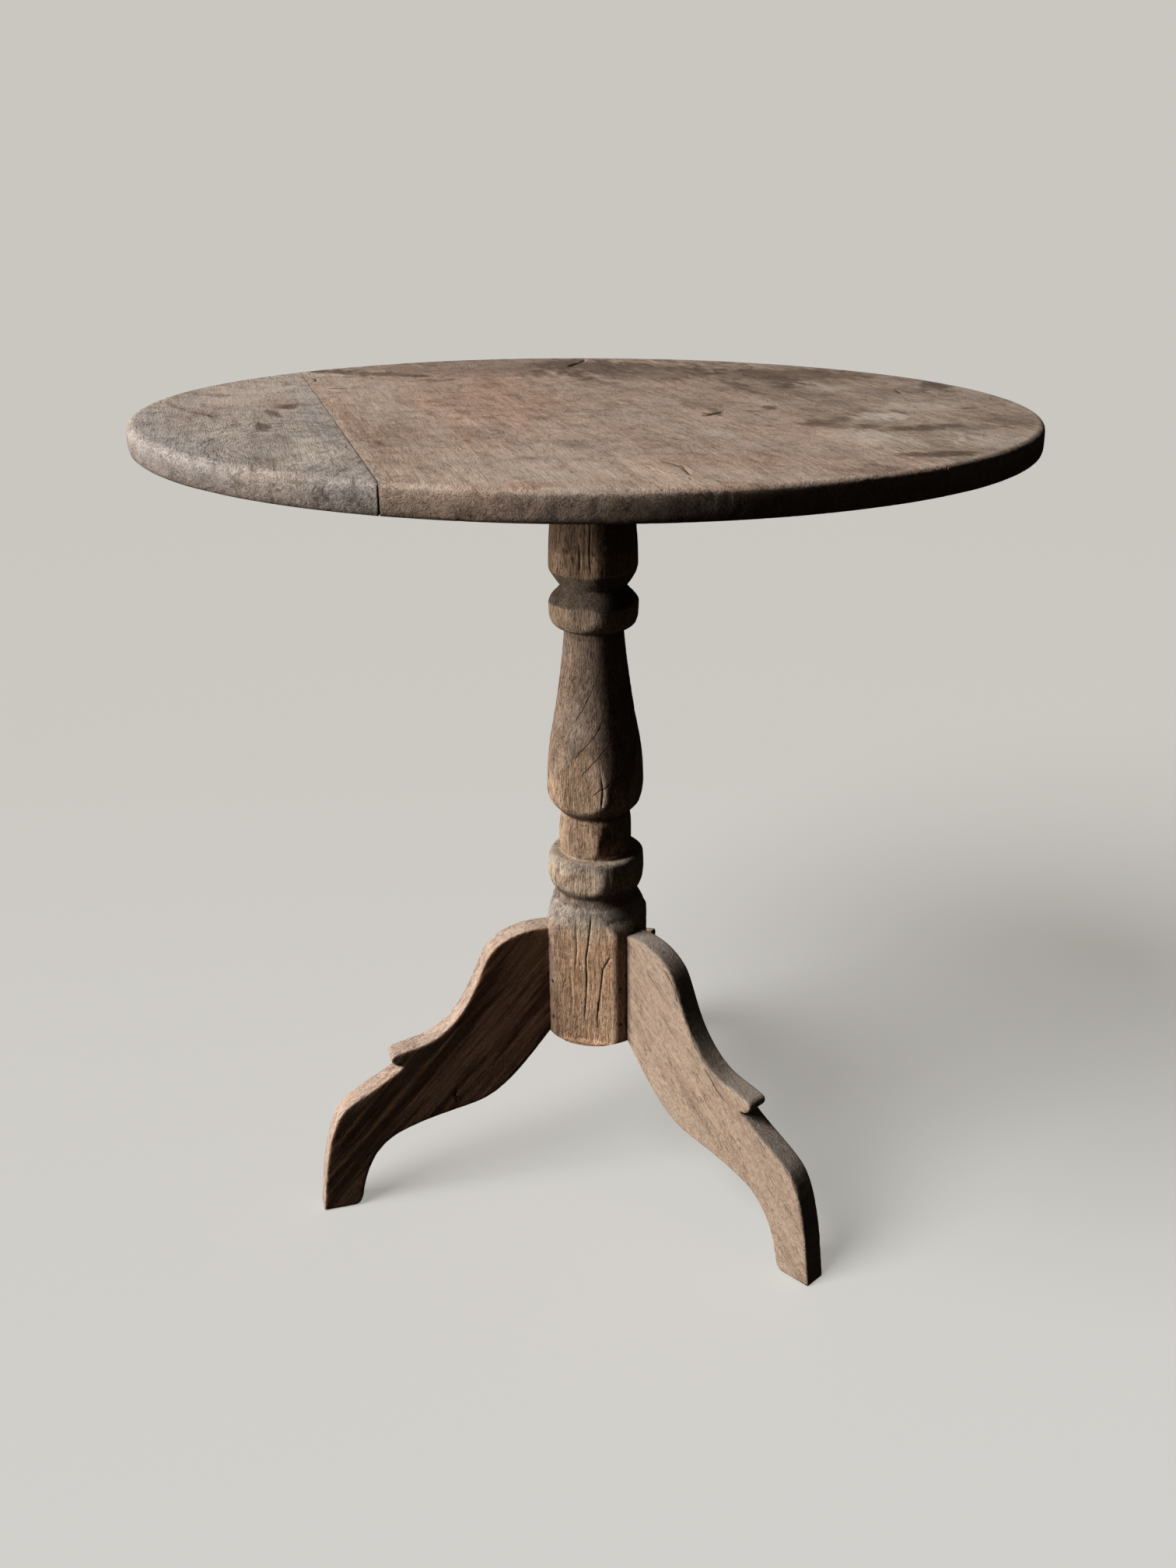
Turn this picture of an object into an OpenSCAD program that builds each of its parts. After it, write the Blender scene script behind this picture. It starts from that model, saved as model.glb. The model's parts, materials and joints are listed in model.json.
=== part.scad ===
// Round tilt-top table: a turned column on three scrolled legs, with a board
// top that tips up to vertical on an iron rod and locks with a spring catch.
// Origin on the floor under the column's axis. +Z is up. The board seams and
// the pivot rod run along Y, and the top tips about the rod, +X side down.

/* [Top] */
// Diameter of the round top
top_d = 750; // [700:5:820]
// Height of the top's upper face above the floor
table_h = 760; // [750:5:790]
// Thickness of the top boards
top_t = 22; // [20:1:26]
// Place of the seam between the left and the middle board
seam_left_x = -218; // [-230:1:-205]
// Place of the seam between the middle and the right board
seam_right_x = 160; // [150:1:175]
// Width and depth of the worn round on the upper rim
rim_round = [12, 8]; // [4:1:14]
// Radius of the small round on the lower rim
rim_lower_r = 4; // [1:1:6]

/* [Column] */
// Radius of the base block that holds the legs
block_r = 52.4; // [49:0.1:54]
// Distance of the base block's flats from the axis
block_flat = 42.6; // [42.2:0.1:46]
// Height of the column's lower end
column_foot_z = 161; // [156:1:163]
// Direction of the first of the four flats
flat_angle = 240; // [235:1:245]
// Distance of the upper flats from the axis where they start
upper_flat = 43.3; // [42:0.1:46]
// Inward lean of the upper flats, in degrees
upper_flat_lean = 0.95; // [0:0.05:1.2]
// Diameter of the round tenon on the column's top
tenon_d = 38; // [30:1:42]

/* [Legs] */
// Directions of the legs: left, right and rear
leg_angles = [180, 300, 60]; // [0:1:359]
// Thickness of the leg boards
leg_t = 23.5; // [20:0.5:26]
// Distance of the leg's shoulder from the column's axis
seat_r = 42; // [40:0.5:42.5]
// Depth of the dovetail tongue behind the shoulder
tongue_d = 15; // [12:1:17]
// Heights of the two brads that hold each tongue
brad_z = [184, 223]; // [178:1:245]
// Diameter of the brads
brad_d = 3.6; // [2:0.2:5]

/* [Pivot] */
// Height of the pivot block
pivot_block_h = 39.7; // [36:0.1:42]
// Half width of the pivot block along the rod
pivot_block_half = 60; // [56:1:60]
// Length of the block from the column's axis to its catch end
pivot_block_back = 60; // [55:1:60]
// Distance of the rod from the column's axis
pivot_x = 48; // [46:1:50]
// Diameter of the pivot rod
rod_d = 10; // [8:0.5:12]
// Distance of the rod's axis under the boards
pivot_drop = 20; // [18:0.5:22]
// Clearance between the top and the block over the whole travel
top_gap = 0.3; // [0.2:0.05:0.5]
// Width of a batten along the rod
batten_w = 28; // [22:1:32]
// Height of a batten under the boards
batten_h = 34; // [30:1:36]
// Length of a batten across the boards
batten_l = 560; // [540:5:580]

/* [Catch] */
// Diameter of the sliding bolt
bolt_d = 8; // [7:0.5:9]
// Distance of the bolt's axis under the boards
bolt_drop = 12; // [11.5:0.1:12.5]
// Diameter of the catch knob
knob_d = 18; // [14:1:19]
// Wire diameter of the spring
wire_d = 1.4; // [1:0.1:1.6]
// Turns of the spring
spring_turns = 7; // [5:1:9]

/* [Hidden] */
$fn = 96;

top_r = top_d / 2;
board_z = table_h - top_t;
pivot_z = board_z - pivot_drop;
block_top_z = board_z - top_gap;
block_bottom_z = block_top_z - pivot_block_h;
// Radius of the block's end, just inside the boards' path around the rod
block_nose_r = pivot_drop - top_gap;
leg_top_z = 278;
tongue_top_z = 256;
tongue_foot_z = 166;
tongue_mouth = 11;
tongue_root = 15;
// The upper flats start here, in the neck between the block and the collar
flats_split_z = 305;
bore_clearance = 0.05;

// Battens, and the screws that hold them to the boards
batten_in = pivot_block_half + 1;
batten_y = batten_in + batten_w / 2;
batten_end_cut = 34;
batten_end_h = 7;
screw_x = [-248, -180, -90, 10, 120, 190, 248];
screw_d = 4.6;
screw_head_d = 9;
screw_head_h = 3;
screw_pocket_d = 10;
screw_pocket_h = 9;
screw_bite = 15;

// Dowels across the seams
dowel_d = 8;
dowel_l = 50;
dowel_y = [-210, -70, 70, 210];

// Rod hardware
washer_d = 22;
washer_t = 1.8;
nut_w = 17;
nut_t = 8;
rod_over = 5;
batten_out = batten_in + batten_w;

// Catch, along X under the boards at the end away from the rod
bolt_z = board_z - bolt_drop;
keeper_x = -pivot_block_back;
keeper_t = 2;
keeper_size = [keeper_t, 32, 22];
keeper_top_z = bolt_z + 4;
keeper_screw_y = 11;
tongue_t = 3;
slot_gap = 0.3;
recess_l = 10;
bolt_tip_x = keeper_x + 6;
bolt_flat_x = keeper_x - 4;
bolt_tail_x = keeper_x - 86;
frame_x = [keeper_x - 72, keeper_x - 4];
frame_w = 40;
frame_t = 2;
lug_t = 6;
front_lug_x = keeper_x - 16;
rear_lug_x = keeper_x - 58;
lug_r = 9;
collar_d = 13;
collar_t = 3;
spring_front_x = front_lug_x - slot_gap - collar_t;
spring_r = 5.5;
small_screw_d = 3.5;
small_head_d = 7;
small_screw_l = 14;
frame_screw_x = [keeper_x - 34, keeper_x - 66];
frame_screw_y = 14;
knob_x = keeper_x - 74;
knob_l = 16;

oak = "#8b7560";
dark_oak = "#5b4433";
pale_oak = "#a78c72";
iron = "#3f3b37";
brass = "#8c7440";

// Points after p0 along a cubic curve to p3
function curve(p0, p1, p2, p3, n) =
    [for (i = [1:n]) let (t = i / n, u = 1 - t)
        u * u * u * p0 + 3 * u * u * t * p1 + 3 * u * t * t * p2 + t * t * t * p3];

// The column's turned outline as [radius, height], from the foot up
function turned_outline() = concat(
    [[0, column_foot_z], [block_r - 6, column_foot_z]],
    curve([block_r - 6, column_foot_z], [block_r - 2, column_foot_z],
          [block_r, column_foot_z + 2], [block_r, column_foot_z + 6], 4),
    // base block and its shoulder
    [[block_r, 276]],
    curve([block_r, 276], [block_r, 284], [48, 288], [46.2, 292], 5),
    curve([46.2, 292], [44.5, 300], [39, 304], [38.4, 311.5], 5),
    // lower collar
    curve([38.4, 311.5], [41, 314], [45.4, 320], [46, 329], 5),
    [[46.1, 335], [45.4, 344]],
    curve([45.4, 344], [45, 348], [43.5, 350], [40.5, 350.5], 3),
    [[32, 350.5]],
    // bulb
    curve([32, 350.5], [33.6, 362], [34.3, 378], [31.2, 390], 8),
    // baluster: undercut foot, belly and long neck
    curve([31.2, 390], [37, 395.5], [44.6, 401], [45.6, 415], 6),
    curve([45.6, 415], [45.9, 440], [40.5, 466], [35.6, 495], 8),
    curve([35.6, 495], [32.2, 516], [28.2, 545], [27, 566], 7),
    // upper collar
    curve([27, 566], [33, 567], [39.6, 570], [40.8, 581], 6),
    [[41, 589]],
    curve([41, 589], [41, 592.5], [38.5, 596], [34.2, 600], 4),
    [[29.6, 605], [34.4, 611], [38.2, 617]],
    // barrel under the pivot block
    curve([38.2, 617], [39.6, 619], [40.5, 621], [40.6, 624], 3),
    curve([40.6, 624], [40.9, 645], [37.5, 668], [34.5, block_bottom_z], 8),
    [[tenon_d / 2, block_bottom_z], [tenon_d / 2, block_top_z - 1.5], [0, block_top_z - 1.5]]);

// A leg's outline as [distance from the axis, height]
function leg_outline() = concat(
    [[seat_r, leg_top_z], [50, leg_top_z]],
    // upper edge: crest, drop and step out to the nose
    curve([50, leg_top_z], [70, leg_top_z + 1.5], [92, leg_top_z - 3], [107, 259], 8),
    curve([107, 259], [118, 246], [122, 216], [143, 192], 8),
    curve([143, 192], [153, 180], [166, 171], [181, 168.5], 5),
    [[203, 163]],
    curve([203, 163], [209, 161], [209, 154], [200, 149], 5),
    [[195, 149]],
    // outer edge down to the foot
    curve([195, 149], [210, 137], [230, 128], [247, 116], 5),
    curve([247, 116], [263, 106], [270, 80], [276, 44], 8),
    [[281, 0], [249, 0]],
    // inner edge back up to the column
    curve([249, 0], [243.5, 1], [241, 8], [240, 18], 4),
    curve([240, 18], [234, 50], [218, 71], [195, 78], 8),
    curve([195, 78], [172, 87], [150, 90], [125, 96], 6),
    curve([125, 96], [98, 103], [75, 133], [50, 165], 8),
    [[seat_r, 165]]);

module turned_column() {
    rotate_extrude() polygon(turned_outline());
}

// What lies outside the billet's four flats, below and above the neck
module outside_flats() {
    for (k = [0:3]) rotate(flat_angle + 90 * k) {
        translate([block_flat, -60, 100]) cube([30, 120, flats_split_z - 100]);
        translate([upper_flat, -60, flats_split_z])
            rotate([0, -upper_flat_lean, 0]) cube([30, 120, 420]);
    }
}

// The dovetail that slides up into the column, from z0 to z1
module dovetail(z0, z1, overlap) {
    mouth_x = seat_r + overlap;
    root_x = seat_r - tongue_d;
    translate([0, 0, z0]) linear_extrude(z1 - z0)
        polygon([[mouth_x, -tongue_mouth / 2], [mouth_x, tongue_mouth / 2],
                 [seat_r, tongue_mouth / 2], [root_x, tongue_root / 2],
                 [root_x, -tongue_root / 2], [seat_r, -tongue_mouth / 2]]);
}

// The two brads of one leg: from the block's face slantwise into the tongue
module brad_pair(side) {
    for (z = brad_z)
        translate([33, side * 3, z]) rotate([0, 90, side * 43])
            cylinder(d = brad_d, h = 30, $fn = 32);
}

// Which side of its leg a pair of brads is on: 1 is counter-clockwise from the leg, seen from above
function brad_side(k) = k == 0 ? 1 : -1;

module column_blank() {
    difference() {
        turned_column();
        outside_flats();
    }
}

module leg_seats() {
    for (a = leg_angles) rotate(a) {
        translate([seat_r, -leg_t / 2, column_foot_z - 1])
            cube([20, leg_t, leg_top_z - column_foot_z + 1]);
        dovetail(column_foot_z - 1, tongue_top_z, 1);
    }
}

module wedge_shapes() {
    top_z = block_top_z - 1.5;
    for (x = [-7, 7]) translate([x, 0, 0]) rotate([90, 0, 0])
        translate([0, 0, -tenon_d / 2]) linear_extrude(tenon_d)
            polygon([[-1.6, top_z], [1.6, top_z], [0.4, top_z - 26], [-0.4, top_z - 26]]);
}

module column() {
    color(oak) difference() {
        column_blank();
        leg_seats();
        wedge_shapes();
        for (k = [0:2]) rotate(leg_angles[k]) brad_pair(brad_side(k));
    }
}

module leg(k) {
    rotate(leg_angles[k]) difference() {
        union() {
            translate([0, leg_t / 2, 0]) rotate([90, 0, 0])
                linear_extrude(leg_t) polygon(leg_outline());
            dovetail(tongue_foot_z, tongue_top_z, 1);
        }
        brad_pair(brad_side(k));
    }
}

module leg_left() { color(dark_oak) leg(0); }
module leg_right() { color(pale_oak) leg(1); }
module leg_rear() { color(dark_oak) leg(2); }

module leg_nails() {
    color(iron) intersection() {
        for (k = [0:2]) rotate(leg_angles[k]) brad_pair(brad_side(k));
        column_blank();
    }
}

module rod_cylinder(d, half) {
    translate([pivot_x, half, pivot_z]) rotate([90, 0, 0]) cylinder(d = d, h = 2 * half);
}

module keeper_screw(d) {
    for (y = [-keeper_screw_y, keeper_screw_y])
        translate([keeper_x - keeper_t, y, keeper_top_z - 16]) rotate([0, 90, 0]) {
            cylinder(d1 = small_head_d, d2 = d, h = keeper_t, $fn = 32);
            cylinder(d = d, h = small_screw_l + keeper_t, $fn = 32);
        }
}

module pivot_block() {
    half = pivot_block_half;
    color(dark_oak) difference() {
        union() {
            translate([-pivot_block_back, -half, block_bottom_z])
                cube([pivot_block_back + pivot_x, 2 * half, pivot_block_h]);
            translate([pivot_x - 1, -half, block_bottom_z])
                cube([block_nose_r + 1, 2 * half, pivot_z - block_bottom_z]);
            translate([pivot_x, half, pivot_z]) rotate([90, 0, 0])
                cylinder(r = block_nose_r, h = 2 * half);
        }
        translate([0, 0, block_bottom_z - 1]) cylinder(d = tenon_d, h = pivot_block_h + 2);
        rod_cylinder(rod_d, half + 1);
        translate([keeper_x - 1, -6, bolt_z - 4]) cube([recess_l + 1, 12, 30]);
        keeper_screw(small_screw_d);
    }
}

module tenon_wedges() {
    color(pale_oak) intersection() {
        wedge_shapes();
        cylinder(d = tenon_d, h = block_top_z);
    }
}

module pivot_rod() {
    color(iron) rod_cylinder(rod_d, batten_out + top_gap + washer_t + nut_t + rod_over);
}

module pivot_washers() {
    color(iron) for (side = [-1, 1])
        translate([pivot_x, side * (batten_out + top_gap + washer_t / 2), pivot_z])
            rotate([90, 0, 0]) difference() {
                cylinder(d = washer_d, h = washer_t, center = true);
                cylinder(d = rod_d, h = washer_t + 2, center = true);
            }
}

module pivot_nuts() {
    color(iron) for (side = [-1, 1])
        translate([pivot_x, side * (batten_out + top_gap + washer_t + nut_t / 2), pivot_z])
            rotate([90, 0, 0]) difference() {
                cube([nut_w, nut_w, nut_t], center = true);
                cylinder(d = rod_d, h = nut_t + 2, center = true);
            }
}

module keeper_plate() {
    slot_h = tongue_t + 2 * slot_gap;
    color(iron) difference() {
        translate([keeper_x - keeper_t, -keeper_size[1] / 2, keeper_top_z - keeper_size[2]])
            cube(keeper_size);
        translate([keeper_x - keeper_t - 1, -bolt_d / 2 - slot_gap, bolt_z - slot_h / 2])
            cube([keeper_t + 2, bolt_d + 2 * slot_gap, slot_h]);
        keeper_screw(small_screw_d);
    }
}

module keeper_screws() {
    color(iron) difference() {
        keeper_screw(small_screw_d);
        for (y = [-keeper_screw_y, keeper_screw_y])
            translate([keeper_x - keeper_t - 1, y - 5, keeper_top_z - 16.5]) cube([1.8, 10, 1]);
    }
}

// The whole round top with its worn upper rim and eased lower rim
module round_top() {
    w = rim_round[0];
    h = rim_round[1];
    rotate_extrude($fn = 180) polygon(concat(
        [[0, board_z], [top_r - rim_lower_r, board_z]],
        curve([top_r - rim_lower_r, board_z], [top_r - rim_lower_r / 2, board_z],
              [top_r, board_z + rim_lower_r / 2], [top_r, board_z + rim_lower_r], 4),
        [[top_r, table_h - h]],
        curve([top_r, table_h - h], [top_r, table_h - h / 3],
              [top_r - w / 3, table_h - 0.6], [top_r - w, table_h], 6),
        [[0, table_h]]));
}

module dowels(seam_x) {
    for (y = dowel_y)
        translate([seam_x - dowel_l / 2, y, table_h - top_t / 2]) rotate([0, 90, 0])
            cylinder(d = dowel_d, h = dowel_l, $fn = 48);
}

module batten_screw_set() {
    for (x = screw_x, side = [-1, 1])
        translate([x, side * batten_y, board_z - batten_h + screw_pocket_h]) {
            cylinder(d1 = screw_head_d, d2 = screw_d, h = screw_head_h, $fn = 32);
            cylinder(d = screw_d, h = batten_h - screw_pocket_h + screw_bite, $fn = 32);
        }
}

module frame_screw_set() {
    for (x = frame_screw_x, y = [-frame_screw_y, frame_screw_y])
        translate([x, y, board_z - frame_t]) {
            cylinder(d1 = small_head_d, d2 = small_screw_d, h = frame_t, $fn = 32);
            cylinder(d = small_screw_d, h = small_screw_l, $fn = 32);
        }
}

// The stretch of the top between two seams, with its dowel and screw holes
module board(x0, x1) {
    difference() {
        intersection() {
            round_top();
            translate([x0, -top_r - 1, board_z - 1])
                cube([x1 - x0, 2 * top_r + 2, top_t + 2]);
        }
        dowels(seam_left_x);
        dowels(seam_right_x);
        batten_screw_set();
        frame_screw_set();
    }
}

module board_left() { color(oak) board(-top_r - 1, seam_left_x); }
module board_middle() { color(pale_oak) board(seam_left_x, seam_right_x); }
module board_right() { color(oak) board(seam_right_x, top_r + 1); }
module seam_dowels_left() { color(pale_oak) dowels(seam_left_x); }
module seam_dowels_right() { color(pale_oak) dowels(seam_right_x); }

module batten(side) {
    half = batten_l / 2;
    foot_z = board_z - batten_h;
    color(dark_oak) difference() {
        translate([0, side * batten_y + batten_w / 2, 0]) rotate([90, 0, 0])
            linear_extrude(batten_w)
                polygon([[-half, board_z], [half, board_z], [half, board_z - batten_end_h],
                         [half - batten_end_cut, foot_z], [batten_end_cut - half, foot_z],
                         [-half, board_z - batten_end_h]]);
        rod_cylinder(rod_d + 2 * bore_clearance, batten_out + 1);
        batten_screw_set();
        for (x = screw_x)
            translate([x, side * batten_y, foot_z - 1])
                cylinder(d = screw_pocket_d, h = screw_pocket_h + 1, $fn = 32);
    }
}

module batten_front() { batten(-1); }
module batten_rear() { batten(1); }

module batten_screws() {
    color(iron) difference() {
        batten_screw_set();
        for (x = screw_x, side = [-1, 1])
            translate([x - 5, side * batten_y - 0.6, board_z - batten_h + screw_pocket_h - 1])
                cube([10, 1.2, 2]);
    }
}

module lug(x) {
    translate([x, 0, bolt_z]) rotate([90, 0, 90]) linear_extrude(lug_t) {
        circle(r = lug_r);
        translate([-lug_r, 0]) square([2 * lug_r, bolt_drop - frame_t / 2]);
    }
}

module catch_frame() {
    color(brass) difference() {
        union() {
            translate([frame_x[0], -frame_w / 2, board_z - frame_t])
                cube([frame_x[1] - frame_x[0], frame_w, frame_t]);
            lug(front_lug_x);
            lug(rear_lug_x);
        }
        translate([frame_x[0], 0, bolt_z]) rotate([0, 90, 0])
            cylinder(d = bolt_d + 2 * bore_clearance, h = frame_x[1] - frame_x[0]);
        frame_screw_set();
    }
}

module catch_screws() {
    color(brass) difference() {
        frame_screw_set();
        for (x = frame_screw_x, y = [-frame_screw_y, frame_screw_y])
            translate([x - 5, y - 0.5, board_z - frame_t - 1]) cube([10, 1, 1.8]);
    }
}

// Coil wound round the bolt, between its collar and the rear lug
module catch_spring() {
    sides = 8;
    per_turn = 14;
    rings = spring_turns * per_turn;
    x0 = spring_front_x - wire_d / 2;
    run = (rear_lug_x + lug_t + wire_d / 2) - x0;
    lead = atan(run / spring_turns / (2 * PI * spring_r));
    points = [for (i = [0:rings]) let (a = 360 * i / per_turn)
        for (j = [0:sides - 1]) let (
            b = 360 * j / sides,
            out = wire_d / 2 * cos(b),
            along = wire_d / 2 * sin(b))
        [x0 + run * i / rings + along * cos(lead),
         (spring_r + out) * cos(a) + along * sin(lead) * sin(a),
         bolt_z + (spring_r + out) * sin(a) - along * sin(lead) * cos(a)]];
    walls = [for (i = [0:rings - 1]) for (j = [0:sides - 1]) let (k = (j + 1) % sides)
        [i * sides + j, i * sides + k, (i + 1) * sides + k, (i + 1) * sides + j]];
    first_end = [[for (j = [sides - 1:-1:0]) j]];
    last_end = [[for (j = [0:sides - 1]) rings * sides + j]];
    color("silver") polyhedron(points, concat(walls, first_end, last_end), convexity = 8);
}

module catch_bolt() {
    length = bolt_tip_x - bolt_tail_x;
    color("silver") difference() {
        union() {
            translate([bolt_tail_x, 0, bolt_z]) rotate([0, 90, 0])
                cylinder(d = bolt_d, h = length);
            translate([spring_front_x, 0, bolt_z]) rotate([0, 90, 0])
                cylinder(d = collar_d, h = collar_t);
        }
        // the tip is flattened to a tongue with a sloping nose
        translate([bolt_flat_x, -10, bolt_z + tongue_t / 2]) cube([20, 20, 10]);
        translate([bolt_flat_x, -10, bolt_z - tongue_t / 2 - 10]) cube([20, 20, 10]);
        translate([bolt_tip_x - 2, -10, bolt_z - tongue_t / 2]) rotate([0, 45, 0])
            cube([10, 20, 10]);
    }
}

module catch_knob() {
    r = knob_d / 2;
    neck = 5.5;
    color(brass) difference() {
        translate([knob_x, 0, bolt_z]) rotate([0, -90, 0]) rotate_extrude()
            polygon(concat(
                [[0, 0], [neck, 0], [neck, 3]],
                curve([neck, 3], [neck, 5.5], [r, 5], [r, 9.5], 5),
                curve([r, 9.5], [r, 13], [r * 0.6, knob_l], [0, knob_l], 6)));
        translate([bolt_tail_x, 0, bolt_z]) rotate([0, 90, 0])
            cylinder(d = bolt_d, h = bolt_tip_x - bolt_tail_x);
    }
}

column();
leg_left();
leg_right();
leg_rear();
leg_nails();
pivot_block();
tenon_wedges();
pivot_rod();
pivot_washers();
pivot_nuts();
keeper_plate();
keeper_screws();
board_left();
board_middle();
board_right();
seam_dowels_left();
seam_dowels_right();
batten_front();
batten_rear();
batten_screws();
catch_frame();
catch_screws();
catch_spring();
catch_bolt();
catch_knob();
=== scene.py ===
"""The weathered tilt-top table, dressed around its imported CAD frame: detailed wood in place of the
plain boards, column and legs, and aged metal on the hardware."""
import math

import bpy
import numpy as np
from mathutils import Matrix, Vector
from mathutils.geometry import delaunay_2d_cdt
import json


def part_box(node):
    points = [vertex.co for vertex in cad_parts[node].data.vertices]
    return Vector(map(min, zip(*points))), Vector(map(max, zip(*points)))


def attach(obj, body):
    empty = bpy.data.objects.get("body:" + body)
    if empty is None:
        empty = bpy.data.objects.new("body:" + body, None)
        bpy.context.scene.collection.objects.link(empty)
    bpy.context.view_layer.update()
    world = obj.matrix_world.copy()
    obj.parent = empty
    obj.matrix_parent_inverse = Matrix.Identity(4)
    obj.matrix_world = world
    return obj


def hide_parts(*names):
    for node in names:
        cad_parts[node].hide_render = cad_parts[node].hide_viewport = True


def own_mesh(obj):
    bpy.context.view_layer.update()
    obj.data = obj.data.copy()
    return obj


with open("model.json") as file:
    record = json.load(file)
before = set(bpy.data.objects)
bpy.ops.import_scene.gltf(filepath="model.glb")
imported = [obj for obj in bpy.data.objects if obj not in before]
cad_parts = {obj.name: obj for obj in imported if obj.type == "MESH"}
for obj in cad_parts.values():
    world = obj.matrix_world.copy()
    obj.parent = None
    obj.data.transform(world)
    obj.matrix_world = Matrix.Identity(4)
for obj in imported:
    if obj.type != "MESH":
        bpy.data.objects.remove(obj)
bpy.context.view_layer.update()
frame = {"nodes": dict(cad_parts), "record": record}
MM = 0.001

# ---- places, from the frame
top_low, top_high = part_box("board_middle")
TOP_Z = top_high[2]
UNDER_Z = top_low[2]
TOP_R = top_high[1]
SEAM_LEFT = top_low[0]
SEAM_RIGHT = top_high[0]
LEG_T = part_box("leg_left")[1][1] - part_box("leg_left")[0][1]
LEG_ANGLES = {"leg_left": 180, "leg_right": 300, "leg_rear": 60}
BLOCK_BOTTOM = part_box("pivot_block")[0][2]
TENON_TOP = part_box("column")[1][2]


# ---- noise
def lattice(cell, seed):
    """A fixed value from -1 to 1 for each whole-number point, mixed from its coordinates by large
    odd numbers."""
    c = cell.astype(np.int64).astype(np.uint32)
    h = c[:, 0] * np.uint32(374761393) + c[:, 1] * np.uint32(668265263)
    h = h + c[:, 2] * np.uint32(2246822519) + np.uint32(seed * 40503 + 977)
    h = (h ^ (h >> np.uint32(13))) * np.uint32(1274126177)
    return (h ^ (h >> np.uint32(16))) / 2147483648.0 - 1.0


def noise(points, size, seed=0, octaves=1):
    """Smooth noise from -1 to 1. size is the pattern's size along each axis, in mm. Each octave is half
    the size and weight of the one before, and moved aside by layer_shift."""
    layer_shift = 17.3
    size = np.broadcast_to(np.asarray(size, float) * MM, 3)
    total = np.zeros(len(points))
    weight, spread = 1.0, 0.0
    for k in range(octaves):
        p = points / size * 2**k + layer_shift * k
        cell = np.floor(p)
        f = p - cell
        f = f * f * (3 - 2 * f)
        value = np.zeros(len(points))
        for dx in (0, 1):
            for dy in (0, 1):
                for dz in (0, 1):
                    share = np.abs(1 - dx - f[:, 0]) * np.abs(1 - dy - f[:, 1])
                    share = share * np.abs(1 - dz - f[:, 2])
                    value += share * lattice(cell + (dx, dy, dz), seed + 7 * k)
        total += weight * value
        spread += weight
        weight *= 0.5
    return total / spread


def smoothstep(low, high, x):
    """0 at low, 1 at high and smooth between them; low may be the larger."""
    t = np.clip((x - low) / (high - low), 0, 1)
    return t * t * (3 - 2 * t)


def between(low, high, x, outside, within):
    """1 between low and high; each end is soft from outside it to within it."""
    return smoothstep(low - outside, low + within, x) * smoothstep(high + outside, high - within, x)


def seen_turned(x, y, angle):
    """The coordinates x and y along axes turned by angle."""
    return x * math.cos(angle) + y * math.sin(angle), -x * math.sin(angle) + y * math.cos(angle)


def curve(p0, p1, p2, p3, n):
    """n points after p0 along a cubic curve to p3."""
    p = np.array([p0, p1, p2, p3], float)
    t = (np.arange(1, n + 1) / n)[:, None]
    u = 1 - t
    return u**3 * p[0] + 3 * u * u * t * p[1] + 3 * u * t * t * p[2] + t**3 * p[3]


def length(vectors):
    return np.linalg.norm(vectors, axis=1)


def resampled(points, step, closed):
    """The polyline again with points about a step apart."""
    p = np.vstack([points, points[:1]]) if closed else np.asarray(points)
    run = np.r_[0, np.cumsum(length(np.diff(p, axis=0)))]
    n = max(2, int(round(run[-1] / step)))
    at = np.linspace(0, run[-1], n + 1)
    if closed:
        at = at[:-1]
    return np.stack([np.interp(at, run, p[:, k]) for k in range(p.shape[1])], axis=1)


def line_distance(points, line):
    """Distance of each point from a polyline, and how far along it (0 to 1) the near point is."""
    best = np.full(len(points), 1e9)
    along = np.zeros(len(points))
    for k, (a, b) in enumerate(zip(line[:-1], line[1:])):
        d = b - a
        t = np.clip((points - a) @ d / (d @ d), 0, 1)
        far = length(points - (a + t[:, None] * d))
        near = far < best
        best[near] = far[near]
        along[near] = (k + t[near]) / (len(line) - 1)
    return best, along


# ---- meshes
def make_object(name, points, faces, attributes=None):
    """A smooth-shaded mesh in the scene; attributes are values for each point."""
    mesh = bpy.data.meshes.new(name)
    mesh.from_pydata([tuple(p) for p in points.tolist()], [], faces)
    mesh.validate()
    mesh.polygons.foreach_set("use_smooth", [True] * len(mesh.polygons))
    for key, values in (attributes or {}).items():
        layer = mesh.attributes.new(key, "FLOAT", "POINT")
        layer.data.foreach_set("value", np.asarray(values, np.float32))
    mesh.update()
    thing = bpy.data.objects.new(name, mesh)
    bpy.context.scene.collection.objects.link(thing)
    return thing


def vertex_normals(points, faces):
    """Each point's normal, from its faces with three or four corners, by their area."""
    normals = np.zeros_like(points)
    for corners in (3, 4):
        f = np.array([x for x in faces if len(x) == corners], int)
        if not len(f):
            continue
        # two sides of a triangle, or the two diagonals of a four-sided face
        n = np.cross(points[f[:, corners - 2]] - points[f[:, 0]],
                     points[f[:, -1]] - points[f[:, corners - 3]])
        for k in range(corners):
            np.add.at(normals, f[:, k], n)
    return normals / np.maximum(length(normals), 1e-12)[:, None]


def tube_faces(n_rings, n_round, inward=False):
    """Four-sided faces that join rings of n_round points each, one ring after another."""
    start = np.arange(n_rings - 1)[:, None] * n_round
    a = start + np.arange(n_round)
    b = start + (np.arange(n_round) + 1) % n_round
    corners = [a, a + n_round, b + n_round, b] if inward else [a, b, b + n_round, a + n_round]
    return np.stack(corners, axis=2).reshape(-1, 4).tolist()


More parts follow.
